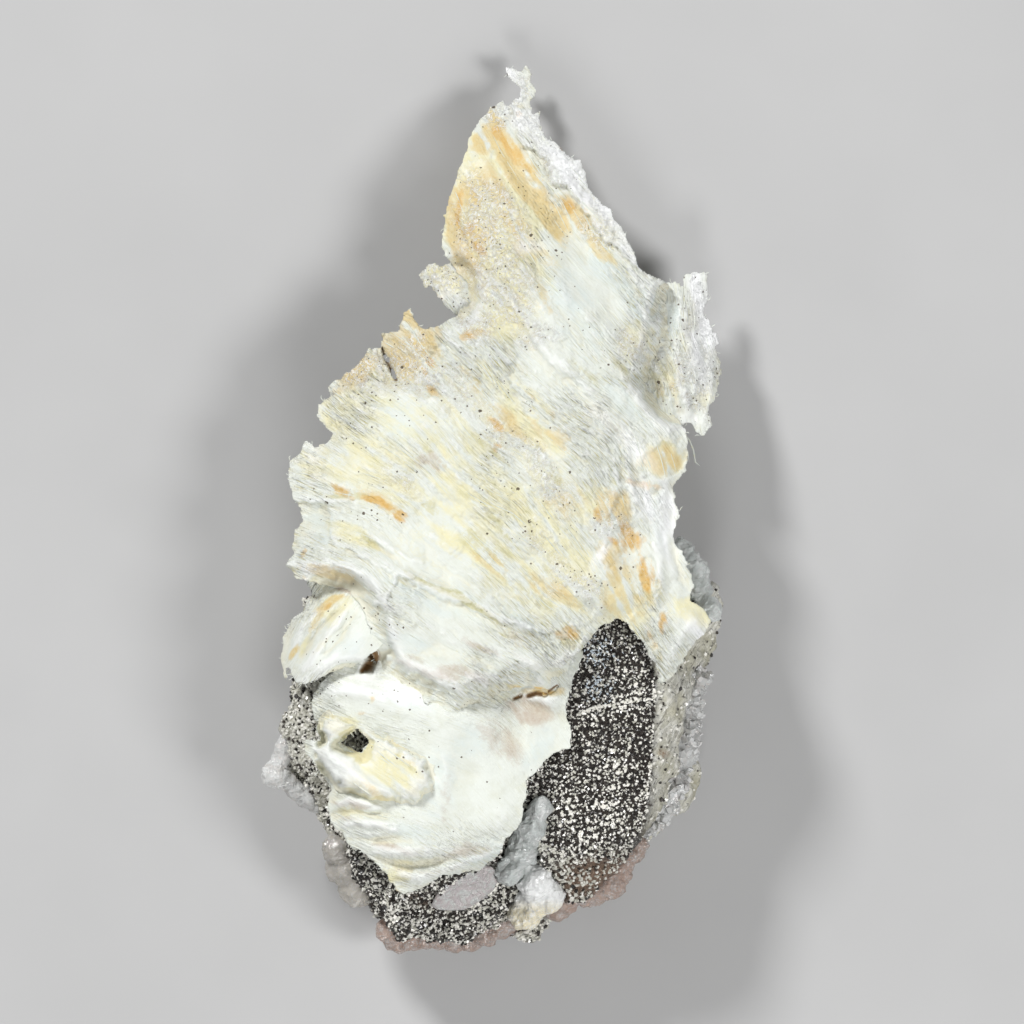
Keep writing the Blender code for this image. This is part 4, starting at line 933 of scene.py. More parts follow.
def scatter(name, places, sizes, tones, seed):
    """Many small rhombs as one mesh, each with its own tone."""
    dice = np.random.default_rng(seed)
    points, faces = rhomb()
    turns = random_turns(len(places), dice)
    stretch = dice.uniform(0.7, 1.25, (len(places), 1, 3))
    shaped = np.einsum("nij,nkj->nki", turns, points[None] * stretch)
    placed = places[:, None, :] + shaped * sizes[:, None, None]
    numbers = faces[None] + len(points) * np.arange(len(places))[:, None, None]
    made = new_object(name, placed.reshape(-1, 3), numbers.reshape(-1, 4), smooth=False)
    add_field(made, "tone", np.repeat(tones, len(points)))
    return made


def tubes(name, lines, radii):
    """Thin four-sided threads along lines of points in metres, as one mesh."""
    points, faces, start = [], [], 0
    for line, radius in zip(lines, radii):
        line = np.asarray(line)
        ahead = np.gradient(line, axis=0)
        ahead /= np.linalg.norm(ahead, axis=1, keepdims=True) + 1e-12
        aside = np.cross(ahead, (0.0, 0.0, 1.0))
        aside /= np.linalg.norm(aside, axis=1, keepdims=True) + 1e-12
        above = np.cross(aside, ahead)
        share = np.linspace(-1, 1, len(line))
        width = radius * (1.05 - np.abs(share) ** 3)[:, None]
        ring = [line + width * way for way in (aside, above, -aside, -above)]
        points.append(np.stack(ring, axis=1).reshape(-1, 3))
        for step in range(len(line) - 1):
            base = start + 4 * step
            for corner in range(4):
                after = (corner + 1) % 4
                faces.append((base + corner, base + after, base + 4 + after, base + 4 + corner))
        last = start + 4 * (len(line) - 1)
        faces.append((start + 3, start + 2, start + 1, start))
        faces.append((last, last + 1, last + 2, last + 3))
        start += 4 * len(line)
    return new_object(name, np.concatenate(points), np.array(faces))


# Materials


class Recipe:
    """Builds a material from nodes."""

    def __init__(self, name):
        self.material = bpy.data.materials.new(name)
        self.material.use_nodes = True
        self.tree = self.material.node_tree
        self.shader = self.tree.nodes["Principled BSDF"]
        self.place = self.add("ShaderNodeTexCoord").outputs["Object"]

    def put(self, socket, value):
        """Links another node's output to the socket, or sets its value."""
        if isinstance(value, bpy.types.NodeSocket):
            self.tree.links.new(value, socket)
        elif hasattr(value, "__len__") and len(value) == 3 and socket.type == "RGBA":
            socket.default_value = (*value, 1.0)
        else:
            socket.default_value = value

    def add(self, kind, inputs=None, **options):
        """A new node with its options set and its inputs filled."""
        node = self.tree.nodes.new(kind)
        for name, value in options.items():
            setattr(node, name, value)
        for name, value in (inputs or {}).items():
            self.put(node.inputs[name], value)
        return node

    def maths(self, operation, first, second, third=None, clamp=False):
        """The result of a maths node."""
        node = self.add("ShaderNodeMath", {0: first, 1: second}, operation=operation, use_clamp=clamp)
        if third is not None:
            self.put(node.inputs[2], third)
        return node.outputs[0]

    def times(self, first, second, clamp=False):
        """The product of two values."""
        return self.maths("MULTIPLY", first, second, clamp=clamp)

    def blend(self, first, second, factor):
        """A mix of two colours. The colour sockets of the node come after those for other kinds."""
        node = self.add("ShaderNodeMix", {0: factor, 6: first, 7: second}, data_type="RGBA")
        return node.outputs[2]

    def shade(self, values):
        """Fills in the shader's sockets and returns the finished material."""
        for name, value in values.items():
            self.put(self.shader.inputs[name], value)
        return self.material

    def field(self, name):
        """A field of the mesh, stored by add_field."""
        return self.add("ShaderNodeAttribute", attribute_name=name).outputs["Fac"]

    def noise(self, size, detail=3.0, roughness=0.55, turn=0.0, stretch=1.0, distortion=0.0):
        """Noise of that grain size in millimetres, drawn out along a direction in the XY plane."""
        mapped = self.add(
            "ShaderNodeMapping",
            {"Vector": self.place, "Rotation": (0.0, 0.0, turn),
             "Scale": (size * stretch * MM, size * MM, size * MM)},
            vector_type="TEXTURE",
        )
        return self.add(
            "ShaderNodeTexNoise",
            {"Vector": mapped.outputs[0], "Scale": 1.0, "Detail": detail, "Roughness": roughness,
             "Distortion": distortion},
        ).outputs["Fac"]

    def step(self, value, low, high):
        """0 below low and 1 above high."""
        return self.add(
            "ShaderNodeMapRange", {"Value": value, "From Min": low, "From Max": high}, clamp=True
        ).outputs[0]

    def strands(self, width, stretch, detail=2.0):
        """Noise drawn out along the felt's own fibres. The width is in millimetres."""
        along = self.maths("DIVIDE", self.field("along"), width * stretch)
        across = self.maths("DIVIDE", self.field("across"), width)
        place = self.add("ShaderNodeCombineXYZ", {0: along, 1: across})
        return self.add(
            "ShaderNodeTexNoise", {"Vector": place.outputs[0], "Scale": 1.0, "Detail": detail}
        ).outputs["Fac"]

    def dots(self, spacing, radius):
        """Ragged dots in a random pattern, and a random number for each."""
        mapped = self.add("ShaderNodeMapping", {"Vector": self.place, "Scale": (1 / (spacing * MM),) * 3})
        grain = 0.9 * spacing / radius
        ragged = self.add("ShaderNodeTexNoise", {"Vector": mapped.outputs[0], "Scale": grain, "Detail": 2.0})
        moved = self.add(
            "ShaderNodeVectorMath",
            {0: ragged.outputs["Color"], 1: (1.6 * radius / spacing,) * 3, 2: mapped.outputs[0]},
            operation="MULTIPLY_ADD",
        )
        cells = self.add("ShaderNodeTexVoronoi", {"Vector": moved.outputs[0], "Scale": 1.0})
        chance = self.add("ShaderNodeSeparateColor", {0: cells.outputs["Color"]}).outputs[0]
        limit = self.maths("MULTIPLY_ADD", chance, radius / spacing, 0.25 * radius / spacing)
        return self.maths("LESS_THAN", cells.outputs["Distance"], limit), chance

    def bump(self, height, depth, strength=1.0, below=None):
        """A bump with that depth in millimetres."""
        inputs = {"Height": height, "Distance": depth * MM, "Strength": strength}
        if below is not None:
            inputs["Normal"] = below
        return self.add("ShaderNodeBump", inputs).outputs["Normal"]


def stained(recipe, colour, torn, kinds):
    """Lays stains, and the rosy painted shade, with ragged borders over the colour."""
    look = settings().felt
    mottled = recipe.maths("MULTIPLY_ADD", recipe.step(recipe.noise(0.4, 4.0, 0.7), 0.30, 0.62), 0.40, 0.60)
    for kind in kinds:
        spread = recipe.field(kind)
        ragged = recipe.step(recipe.maths("ADD", spread, torn), 0.16, 0.38)
        strength = recipe.times(ragged, recipe.step(spread, 0.03, 0.75), clamp=True)
        strength = recipe.times(strength, mottled)
        colour = recipe.blend(colour, getattr(look, kind), strength)
    return colour


# The second argument scales both the dark specks and the painted shade in the fibre valleys
def felt_material(name, specks_and_valley_shade=1.0):
    """White matted fibre with its stains, curls and specks, painted shade in its hollows, pores, valleys and
    cracks, and painted highlights on its crests, ridges and curls.
    """
    look = settings().felt
    recipe = Recipe(name)
    fleck = recipe.noise(0.32, 4.0, 0.7)
    cloud = recipe.noise(2.6, 5.0, 0.62)
    torn = recipe.maths("MULTIPLY_ADD", recipe.noise(0.60, 6.0, 0.80), 1.5, -0.75)
    lines = recipe.strands(0.32, 9.0, 3.0)
    fine_lines = recipe.strands(0.15, 12.0)
    fibrous = recipe.field("fibrous")
    crust = recipe.field("crust")
    relief = recipe.field("relief")
    plain = recipe.maths("SUBTRACT", 1.0, recipe.field("snow"), clamp=True)
    colour = recipe.blend(look.white, look.shade, recipe.step(cloud, 0.47, 0.75))
    colour = stained(recipe, colour, torn, ("cool", "cream", "rosy_shade", "olive"))
    # Along the fine fibre lines: olive in the valleys, partly olive streaks and partly painted shade, and
    # white on the ridges, partly white fibre and partly painted highlight
    combed = recipe.times(fibrous, recipe.step(recipe.noise(2.0, 4.0, 0.65), 0.36, 0.54))
    valley_shade_share = recipe.times(combed, 0.95 * specks_and_valley_shade)
    valley = recipe.times(recipe.step(fine_lines, 0.46, 0.35), valley_shade_share)
    colour = recipe.blend(colour, look.olive, valley)
    ridge_highlight_share = recipe.times(combed, 0.9)
    ridge_highlight = recipe.times(recipe.step(fine_lines, 0.56, 0.64), ridge_highlight_share)
    colour = recipe.blend(colour, look.snow, recipe.times(ridge_highlight, 0.7))
    # Painted highlight: the crests of the relief are lightened towards the snow colour
    crest_highlight = recipe.times(recipe.step(relief, 0.60, 0.95), 0.45)
    colour = recipe.blend(colour, look.snow, crest_highlight)
    colour = stained(recipe, colour, torn, ("tan", "amber"))
    # Painted shade: hollows of the relief are darkened towards the hollow colour, more on crust and not on
    # snow
    depth = recipe.times(recipe.maths("MULTIPLY_ADD", crust, 0.15, 0.35), plain)
    sunk = recipe.times(recipe.step(relief, 0.46, 0.05), depth)
    colour = recipe.blend(colour, look.hollow, sunk)
    gritty = recipe.times(crust, plain)
    # White curls on the crust, partly white fibre and partly a painted highlight, each with a thin painted
    # shadow line beside it
    curl = recipe.noise(0.75, 3.0, 0.6, distortion=1.4)
    away = recipe.maths("ABSOLUTE", recipe.maths("SUBTRACT", curl, 0.50), 0.0)
    white_curl_and_highlight = recipe.step(away, 0.055, 0.020)
    shadow = recipe.step(recipe.maths("ABSOLUTE", recipe.maths("SUBTRACT", curl, 0.425), 0.0), 0.022, 0.008)
    shadow = recipe.times(shadow, recipe.times(gritty, 0.45))
    colour = recipe.blend(colour, look.crust_shade, shadow)
    strong = recipe.maths("MULTIPLY_ADD", crust, 0.75, 0.02, clamp=True)
    colour = recipe.blend(colour, look.snow, recipe.times(white_curl_and_highlight, strong))
    # Painted shade between the crust's grains
    pore_shade = recipe.times(recipe.field("pore_shade"), recipe.step(fleck, 0.44, 0.56))
    pore_shade = recipe.times(pore_shade, recipe.times(plain, 0.65))
    colour = recipe.blend(colour, look.crust_shade, pore_shade)
    snowy = recipe.times(recipe.field("snow"), recipe.step(fleck, 0.15, 0.45))
    colour = recipe.blend(colour, look.snow, snowy)
    crowd = recipe.maths("MULTIPLY_ADD", crust, 0.50 * specks_and_valley_shade, recipe.field("specks"), clamp=True)
    crowd = recipe.times(crowd, recipe.step(recipe.noise(2.4, 3.0, 0.6), 0.36, 0.60))
    crowd = recipe.times(crowd, recipe.maths("MULTIPLY_ADD", plain, 0.75, 0.25))
    for spacing, radius, share in ((1.6, 0.19, 0.45), (0.80, 0.115, 0.72), (0.46, 0.080, 0.34)):
        dot, chance = recipe.dots(spacing, radius)
        wanted = recipe.maths("MULTIPLY_ADD", crowd, -share, 1.0)
        shown = recipe.times(dot, recipe.maths("GREATER_THAN", chance, wanted))
        colour = recipe.blend(colour, look.speck, recipe.times(shown, 0.90))
    # Painted shade in the cracks and under sheet edges
    colour = recipe.blend(colour, look.gap, recipe.field("gap"))
    below = recipe.bump(recipe.times(lines, fibrous), 0.45)
    below = recipe.bump(recipe.times(fine_lines, combed), 0.40, 1.0, below)
    below = recipe.bump(recipe.times(white_curl_and_highlight, strong), 0.08, 1.0, below)
    grit = recipe.times(fleck, recipe.maths("MULTIPLY_ADD", crust, 0.35, 0.35))
    return recipe.shade({
        "Base Color": colour,
        "Roughness": recipe.maths("MULTIPLY_ADD", fleck, 0.25, 0.55),
        "Specular IOR Level": 0.35,
        "Normal": recipe.bump(grit, 0.19, 1.0, below),
    })


def rock_material():
    """Dark dolostone, brown-black on its druse face and grey on its broken sides."""
    look = settings().rock
    recipe = Recipe("dark_dolostone")
    grit = recipe.noise(0.30, 4.0, 0.7)
    cloud = recipe.noise(3.5, 4.0, 0.6)
    dark = recipe.blend(look.dark, look.brown, recipe.step(cloud, 0.35, 0.75))
    scratch = recipe.noise(0.50, 4.0, 0.7, math.radians(58), 8.0)
    grey = recipe.blend(look.grey, look.pale, recipe.step(scratch, 0.48, 0.58))
    groove = recipe.noise(0.42, 4.0, 0.6, math.radians(58), 10.0)
    grooved = recipe.times(recipe.step(groove, 0.44, 0.34), 0.8)
    grey = recipe.blend(grey, look.brown, grooved)
    grey = recipe.blend(grey, look.olive, recipe.step(cloud, 0.45, 0.70))
    grey = recipe.blend(grey, look.dark, recipe.step(recipe.noise(0.7, 5.0, 0.75), 0.55, 0.66))
    colour = recipe.blend(dark, grey, recipe.field("grey"))
    sparkle = recipe.times(recipe.step(grit, 0.58, 0.64), recipe.field("sugar"))
    colour = recipe.blend(colour, look.sugar, sparkle)
    rust = recipe.times(recipe.field("rust"), recipe.step(grit, 0.3, 0.6))
    colour = recipe.blend(colour, look.rust, rust)
    below = recipe.bump(scratch, 0.40, 0.8)
    return recipe.shade({
        "Base Color": colour,
        "Roughness": recipe.maths("MULTIPLY_ADD", grit, 0.5, 0.22),
        "Normal": recipe.bump(grit, 0.25, 1.0, below),
    })


def sugar_material():
    """Tiny glassy crystals: dark, grey or white by their tone, or bluish white as a painted sheen."""
    look = settings().rock
    recipe = Recipe("druse_sugar")
    tone = recipe.field("tone")
    colour = recipe.blend(look.dark, look.brown, recipe.step(tone, 0.0, 0.3))
    colour = recipe.blend(colour, look.grey, recipe.step(tone, 0.34, 0.36))
    colour = recipe.blend(colour, look.pale, recipe.step(tone, 0.45, 0.62))
    colour = recipe.blend(colour, look.sugar, recipe.step(tone, 0.64, 0.70))
    # Painted sheen: the highest tones are bluish white
    colour = recipe.blend(colour, look.bluish_sheen, recipe.step(tone, 0.94, 0.96))
    rough = recipe.maths("MULTIPLY_ADD", recipe.noise(0.2), 0.25, 0.05)
    return recipe.shade({"Base Color": colour, "Roughness": rough, "IOR": 1.6})


def calcite_material(name, clear, cloudy, transmission, density, foot=None):
    """Glassy calcite: clear in the body, clouded by veils and fine cleavage, or only at its foot, with thin
    white seams that are partly painted highlights.
    """
    recipe = Recipe(name)
    veil = recipe.noise(1.1, 5.0, 0.65, distortion=0.8)
    fleck = recipe.noise(0.28, 3.0, 0.6)
    clouded = recipe.step(veil, 0.48, 0.66)
    if foot is not None:
        down = recipe.add("ShaderNodeSeparateXYZ", {0: recipe.place}).outputs[1]
        high, low = [value * MM for value in foot]
        clouded = recipe.times(recipe.step(down, high, low), recipe.step(veil, 0.30, 0.50))
    colour = recipe.blend(clear, cloudy, clouded)
    # Thin white seams: cleavage lines, partly painted highlights on the crystals' edges
    seam = recipe.maths("SUBTRACT", recipe.noise(1.0, 3.0, 0.55, distortion=1.0), 0.5)
    seam = recipe.step(recipe.maths("ABSOLUTE", seam, 0.0), 0.026, 0.008)
    colour = recipe.blend(colour, settings().calcite.white, recipe.times(seam, 0.75))
    cleavage = recipe.noise(0.20, 2.0, 0.5, math.radians(35), 9.0)
    below = recipe.bump(cleavage, 0.07, 0.8)
    below = recipe.bump(seam, 0.06, 0.8, below)
    absorb = recipe.add("ShaderNodeVolumeAbsorption", {"Color": clear, "Density": density})
    output = recipe.tree.nodes["Material Output"]
    recipe.put(output.inputs["Volume"], absorb.outputs[0])
    return recipe.shade({
        "Base Color": colour,
        "Roughness": recipe.maths("MULTIPLY_ADD", fleck, 0.24, -0.04, clamp=True),
        "Transmission Weight": transmission,
        "IOR": 1.6,
        "Specular IOR Level": 0.6,
        "Normal": recipe.bump(fleck, 0.08, 0.8, below),
    })


def dress(obj, material, slot, *nodes):
    """Gives a new piece its material and its place in the specimen."""
    obj.data.materials.clear()
    obj.data.materials.append(material)
    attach(obj, "root")
    if nodes:
        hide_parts(*nodes)
    return obj


# Settings


def colour_setting(name, description, default):
    """A colour on the panel."""
    return FloatVectorProperty(name=name, description=description, subtype="COLOR", default=default)


def size_setting(name, description, default, least=0.0):
    """A length on the panel, from millimetres."""
    return FloatProperty(
        name=name, description=description, default=default * MM, min=least * MM, unit="LENGTH"
    )


class FeltSettings(bpy.types.PropertyGroup):
    """Sizes and colours of the felt"""

    cell: size_setting("Mesh cell", "Grid size of the felt sheets", 0.18, least=0.1)
    fibre: size_setting("Fibre height", "How far fibres stand up", 0.14)
    layer: size_setting("Layer height", "Height of each torn layer", 0.15)
    wrinkle: size_setting("Wrinkle height", "How far wrinkles stand up", 0.34)
    crust: size_setting("Crust height", "How far the sugary crust stands up", 0.32)
    threads: IntProperty(name="Threads", description="Number of raised threads", default=240, min=0)
    white: colour_setting("White", "Clean felt", (0.75, 0.78, 0.72))
    shade: colour_setting("Shade", "Felt in its duller clouds", (0.68, 0.70, 0.61))
    # Hollow is the colour of the painted shade in the felt's hollows
    hollow: colour_setting("Hollow", "Felt in its hollows", (0.74, 0.66, 0.42))
    cream: colour_setting("Cream", "Pale yellow stain", (0.79, 0.75, 0.48))
    tan: colour_setting("Tan", "Tan stain", (0.72, 0.57, 0.28))
    amber: colour_setting("Amber", "Strong iron stain", (0.68, 0.43, 0.13))
    # Olive is also the colour of the painted shade in the valleys between fibres
    olive: colour_setting("Olive", "Olive streaks", (0.56, 0.53, 0.28))
    # Rosy is painted shade in folds, valleys and under sheet edges
    rosy_shade: colour_setting("Rosy", "Pinkish brown shade", (0.55, 0.47, 0.38))
    cool: colour_setting("Cool", "Translucent bluish felt", (0.69, 0.75, 0.72))
    # Snow is also the colour of the painted highlights on crests, fibre ridges and curls
    snow: colour_setting("Snow", "Brilliant white edges", (0.97, 0.98, 0.98))
    # Crust shade: the colour of the painted shade between the crust's grains and beside its curls
    crust_shade: colour_setting("Pore", "Hollows of the crust", (0.40, 0.29, 0.14))
    speck: colour_setting("Speck", "Dark mineral specks", (0.075, 0.050, 0.025))
    # The colour of the painted shade in cracks and under sheet edges
    gap: colour_setting("Gap", "Brown depth of cracks", (0.16, 0.085, 0.03))


class RockSettings(bpy.types.PropertyGroup):
    """Sizes and colours of the dolostone"""

    cell: size_setting("Mesh cell", "Mesh size of the rock", 0.40, least=0.2)
    rough: size_setting("Roughness height", "How rough the broken faces are", 0.60)
    druse: IntProperty(name="Druse crystals", description="Number of tiny crystals on the rock",
                       default=16400, min=0)
    dark: colour_setting("Dark", "Dark rock", (0.018, 0.017, 0.016))
    brown: colour_setting("Brown", "Brown rock", (0.062, 0.052, 0.045))
    grey: colour_setting("Grey", "Grey broken faces", (0.60, 0.59, 0.52))
    pale: colour_setting("Pale grey", "Pale grains of the broken faces", (0.88, 0.87, 0.81))
    olive: colour_setting("Olive grey", "Olive clouds of the broken faces", (0.50, 0.48, 0.36))
    rust: colour_setting("Rust", "Brown stain at the foot", (0.30, 0.19, 0.12))
    sugar: colour_setting("Sugar", "White druse grains", (0.92, 0.90, 0.84))
    # Druse grains painted bluish white where the face glints, as a painted sheen
    bluish_sheen: colour_setting("Frost", "Bluish white druse grains", (0.78, 0.87, 0.95))


class CalciteSettings(bpy.types.PropertyGroup):
    """Sizes and colours of the calcite"""

    small: IntProperty(name="Small crystals", description="Number of small crystals on the right rim",
                       default=520, min=0)
    pink: colour_setting("Pink", "Pinkish brown calcite", (0.76, 0.58, 0.49))
    tan: colour_setting("Tan", "Tan grey calcite of the left lobe", (0.84, 0.80, 0.72))
    pink_veil: colour_setting("Pink veil", "Clouds in pinkish calcite", (0.95, 0.90, 0.86))
    grey: colour_setting("Grey", "Bluish grey calcite", (0.84, 0.89, 0.87))
    white: colour_setting("White", "Milky calcite", (0.97, 0.98, 0.97))
    straw: colour_setting("Straw", "Yellowish foot of the milky lump", (0.88, 0.80, 0.58))
    mauve: colour_setting("Mauve", "Mauve cleavage flake", (0.68, 0.61, 0.60))


class StageSettings(bpy.types.PropertyGroup):
    """The floor and the camera"""

    floor: colour_setting("Floor", "Colour of the floor", (0.50, 0.50, 0.50))
    distance: FloatProperty(name="Camera height", description="From the felt's front to the camera",
                            default=3.2, min=0.3, unit="LENGTH")


class SpecimenSettings(bpy.types.PropertyGroup):
    """All settings of the specimen"""

    felt: PointerProperty(type=FeltSettings)
    rock: PointerProperty(type=RockSettings)
    calcite: PointerProperty(type=CalciteSettings)
    stage: PointerProperty(type=StageSettings)


SHEETS = {}  # the sheets as they are made, by node
EDGE_DIVE = (0.12, 0.26)  # how far the big sheet's edge dives in, and how much less where it is laid over
LOWER_SHEETS = ("lower_felt_apron", "left_felt_tongue", "curled_felt_flap", "left_felt_tab")


def felt_heights(fibre=1.0, layer=1.0, wrinkle=1.0, crust=1.0):
    """The felt's relief in millimetres, each kind by its share."""
    look = settings().felt
    shares = {"fibre": fibre, "layer": layer, "wrinkle": wrinkle, "crust": crust}
    return {kind: getattr(look, kind) / MM * share for kind, share in shares.items()}


class SPECIMEN_OT_main_sheet(bpy.types.Operator):
    """Make the big torn sheet of felt, from the rock up to the spire's wisp"""

    bl_idname = "specimen.main_sheet"
    bl_label = "Main Felt Sheet"

    def execute(self, context):
        sheet = Sheet("main_felt_sheet", fine(settings().felt.cell / MM), MAIN_FLOW, 100)
        sheet.tear(0.20)
        for ring, height in MAIN_LAYERS:
            sheet.raise_layer(ring, height)
        for ring in AMBER_WINDOWS:
            sheet.raise_layer(ring, *WINDOW_LAYER)
        sheet.raise_folds(MAIN_FOLDS)
        sheet.raise_grain(MAIN_CRUST, MAIN_SMOOTH, felt_heights())
        sheet.stain(MAIN_STAINS, MAIN_SPECKS)
        sheet.crack(MAIN_CRACKS)
        sheet.close(0.30, MAIN_SETTLED, 2.0)
        dive, raised = EDGE_DIVE
        sunk = dive - raised * patches(sheet.xs, sheet.ys, LAID_OVER)
        sheet.rest_on([SHEETS[node] for node in LOWER_SHEETS], MAIN_SETTLED, sunk)
        sheet.read_relief()
        SHEETS["main_felt_sheet"] = sheet
        made = sheet.mesh("torn_main_sheet")
        dress(made, felt_material("stained_felt"), "felt", "main_felt_sheet")
        return {"FINISHED"}


class SPECIMEN_OT_lower_sheets(bpy.types.Operator):
    """Make the apron over the rock, the tongue on the left and the cream pocket"""

    bl_idname = "specimen.lower_sheets"
    bl_label = "Lower Felt Sheets"

    def execute(self, context):
        cell = fine(settings().felt.cell / MM)
        # Fewer specks and weaker painted valley shade on the lower sheets
        look = felt_material("felt_fewer_specks_less_valley_shade", 0.7)
        rows = (
            ("lower_felt_apron", "folded_apron", APRON_FLOW, 200, APRON_FOLDS, APRON_STAINS,
             APRON_SPECKS, [(400, 750, 12, 8, 0, 0.3)], APRON_SMOOTH,
             felt_heights(0.5, 0.5, 0.8), [], "felt"),
            ("left_felt_tongue", "folded_tongue", TONGUE_FLOW, 300, TONGUE_FOLDS, TONGUE_STAINS,
             TONGUE_SPECKS, [(320, 590, 20, 6, 0, 0.4)], [(355, 640, 30, 30, 0, 0.8)],
             felt_heights(0.6, 0.5, 0.8), TONGUE_SETTLED, "felt"),
            ("cream_felt_pocket", "torn_cream_pocket", POCKET_FLOW, 400, POCKET_FOLDS, POCKET_STAINS,
             POCKET_SPECKS, POCKET_CRUST, [], felt_heights(0.9, 0.8, 0.8), POCKET_SETTLED,
             "cream_felt"),
        )
        for row in rows:
            node, name, flow, seed, folds, stains, specks, crusted, smooth, heights, settled, slot = row
            sheet = Sheet(node, cell, flow, seed, 1.0)
            sheet.tear(0.18)
            sheet.raise_folds(folds)
            sheet.raise_grain(crusted, smooth, heights)
            sheet.stain(stains, specks)
            sheet.crack(APRON_SHADE if node == "lower_felt_apron" else [])
            sheet.close(0.22, settled, 2.2, TONGUE_COVERED if node == "left_felt_tongue" else ())
            if settled:
                sheet.rest_on([SHEETS["lower_felt_apron"]], settled, 0.05, 0.9)
            sheet.read_relief()
            SHEETS[node] = sheet
            dress(sheet.mesh(name), look, slot, node)
        return {"FINISHED"}


class SPECIMEN_OT_side_flaps(bpy.types.Operator):
    """Make the curled flap on the upper right and the nubbly tab on the spire's left"""

    bl_idname = "specimen.side_flaps"
    bl_label = "Side Flaps"

    def execute(self, context):
        cell = fine(settings().felt.cell / MM)
        look = felt_material("crusted_felt")
        rows = (
            ("curled_felt_flap", "curled_flap", FLAP_FLOW, 500, FLAP_FOLDS, FLAP_STAINS, FLAP_CRUST, "felt"),
            ("left_felt_tab", "nubbly_tab", TAB_FLOW, 600, [], TAB_STAINS, TAB_CRUST, "cream_felt"),
        )
        for node, name, flow, seed, folds, stains, crusted, slot in rows:
            sheet = Sheet(node, cell, flow, seed, 0.8)
            sheet.tear(0.24)
            sheet.raise_folds(folds)
            sheet.raise_grain(crusted, [], felt_heights())
            sheet.stain(stains, SOME_SPECKS)
            sheet.crack([])
            sheet.close(0.35)
            if node == "left_felt_tab":
                lift = TAB_LIFT * patches(sheet.xs, sheet.ys, TAB_RAISED)
                sheet.top += lift
                sheet.under += lift
            sheet.read_relief()
            SHEETS[node] = sheet
            dress(sheet.mesh(name), look, slot, node)
        return {"FINISHED"}


# How the raised threads are shared out over the sheets
THREAD_SHARES = {
    "main_felt_sheet": 0.90, "lower_felt_apron": 0.03, "left_felt_tongue": 0.02,
    "cream_felt_pocket": 0.03, "curled_felt_flap": 0.02,
}
HAIR = 0.10  # the radius of the loose hairs


class SPECIMEN_OT_threads(bpy.types.Operator):
    """Lay raised threads along the fibres, fray the edges, and hang the loose hairs"""

    bl_idname = "specimen.threads"
    bl_label = "Felt Threads"

    def execute(self, context):
        dice = random.Random(7)
        threads = []
        for node, share in THREAD_SHARES.items():
            wanted = int(share * settings().felt.threads)
            threads += self.lay_threads(dice, SHEETS[node], wanted)
            threads += self.fray(dice, SHEETS[node], 40 + wanted // 6)
        for hair in LOOSE_HAIRS:
            threads.append(([placed(*spot(across, down), height) for across, down, height in hair], HAIR))
        lines, radii = zip(*threads)
        made = tubes("felt_threads", lines, [radius * MM for radius in radii])
        recipe = Recipe("white_thread")
        fleck = recipe.noise(0.6)
        look = settings().felt
        colour = recipe.blend(look.white, look.cream, recipe.step(fleck, 0.55, 0.85))
        rough = recipe.maths("MULTIPLY_ADD", fleck, 0.3, 0.5)
        dress(made, recipe.shade({"Base Color": colour, "Roughness": rough}), "felt")
        return {"FINISHED"}

    def lay_threads(self, dice, sheet, wanted):
        """Threads that lie along the fibres: each a line of places and a radius in millimetres."""
        low_x, high_x = sheet.xs[0, 0], sheet.xs[-1, -1]
        low_y, high_y = sheet.ys[0, 0], sheet.ys[-1, -1]
        threads = []
        while len(threads) < wanted:
            x, y = dice.uniform(low_x, high_x), dice.uniform(low_y, high_y)
            height, edge, angle, fibrous = sheet.height_at(x, y)
            if edge < 0.3 or dice.random() > fibrous:
                continue
            way = dice.choice((-1, 1))
            stray = dice.gauss(0, 0.04)
            bend = dice.gauss(0, 0.008)
            line = []
            for step in range(dice.randint(6, 20)):
                height, edge, angle, fibrous = sheet.height_at(x, y)
                if edge < 0.05:
                    break
                lift = 0.01 + 0.03 * math.sin(step * 0.5 + len(threads))
                line.append(placed(x, y, height + lift))
                turn = angle + stray + bend * step
                x += way * 0.4 * math.cos(turn)
                y += way * 0.4 * math.sin(turn)
            if len(line) > 4:
                threads.append((line, dice.uniform(0.03, 0.08)))
        return threads

    def fray(self, dice, sheet, wanted):
        """Short threads that stick out of the torn edge, each as in lay_threads."""
        rows, columns = sheet.xs.shape
        threads = []
        while len(threads) < wanted:
            i, j = dice.randrange(rows), dice.randrange(columns)
            if not 0 < sheet.edge[i, j] < sheet.cell:
                continue
            slope = np.array([
                sheet.edge[min(i + 1, rows - 1), j] - sheet.edge[i - 1, j],
                sheet.edge[i, min(j + 1, columns - 1)] - sheet.edge[i, j - 1],
            ])
            outward = -slope / (np.linalg.norm(slope) + 1e-9)
            turn = math.atan2(outward[1], outward[0]) + dice.gauss(0, 1.0)
            x, y, z = sheet.xs[i, j], sheet.ys[i, j], sheet.top[i, j] - 0.15
            line = []
            for step in range(dice.randint(4, 8)):
                line.append(placed(x, y, max(z, 0.3)))
                turn += dice.gauss(0, 0.35)
                x += 0.12 * math.cos(turn)
                y += 0.12 * math.sin(turn)
                z -= dice.uniform(-0.02, 0.08)
            threads.append((line, dice.uniform(0.03, 0.06)))
        return threads


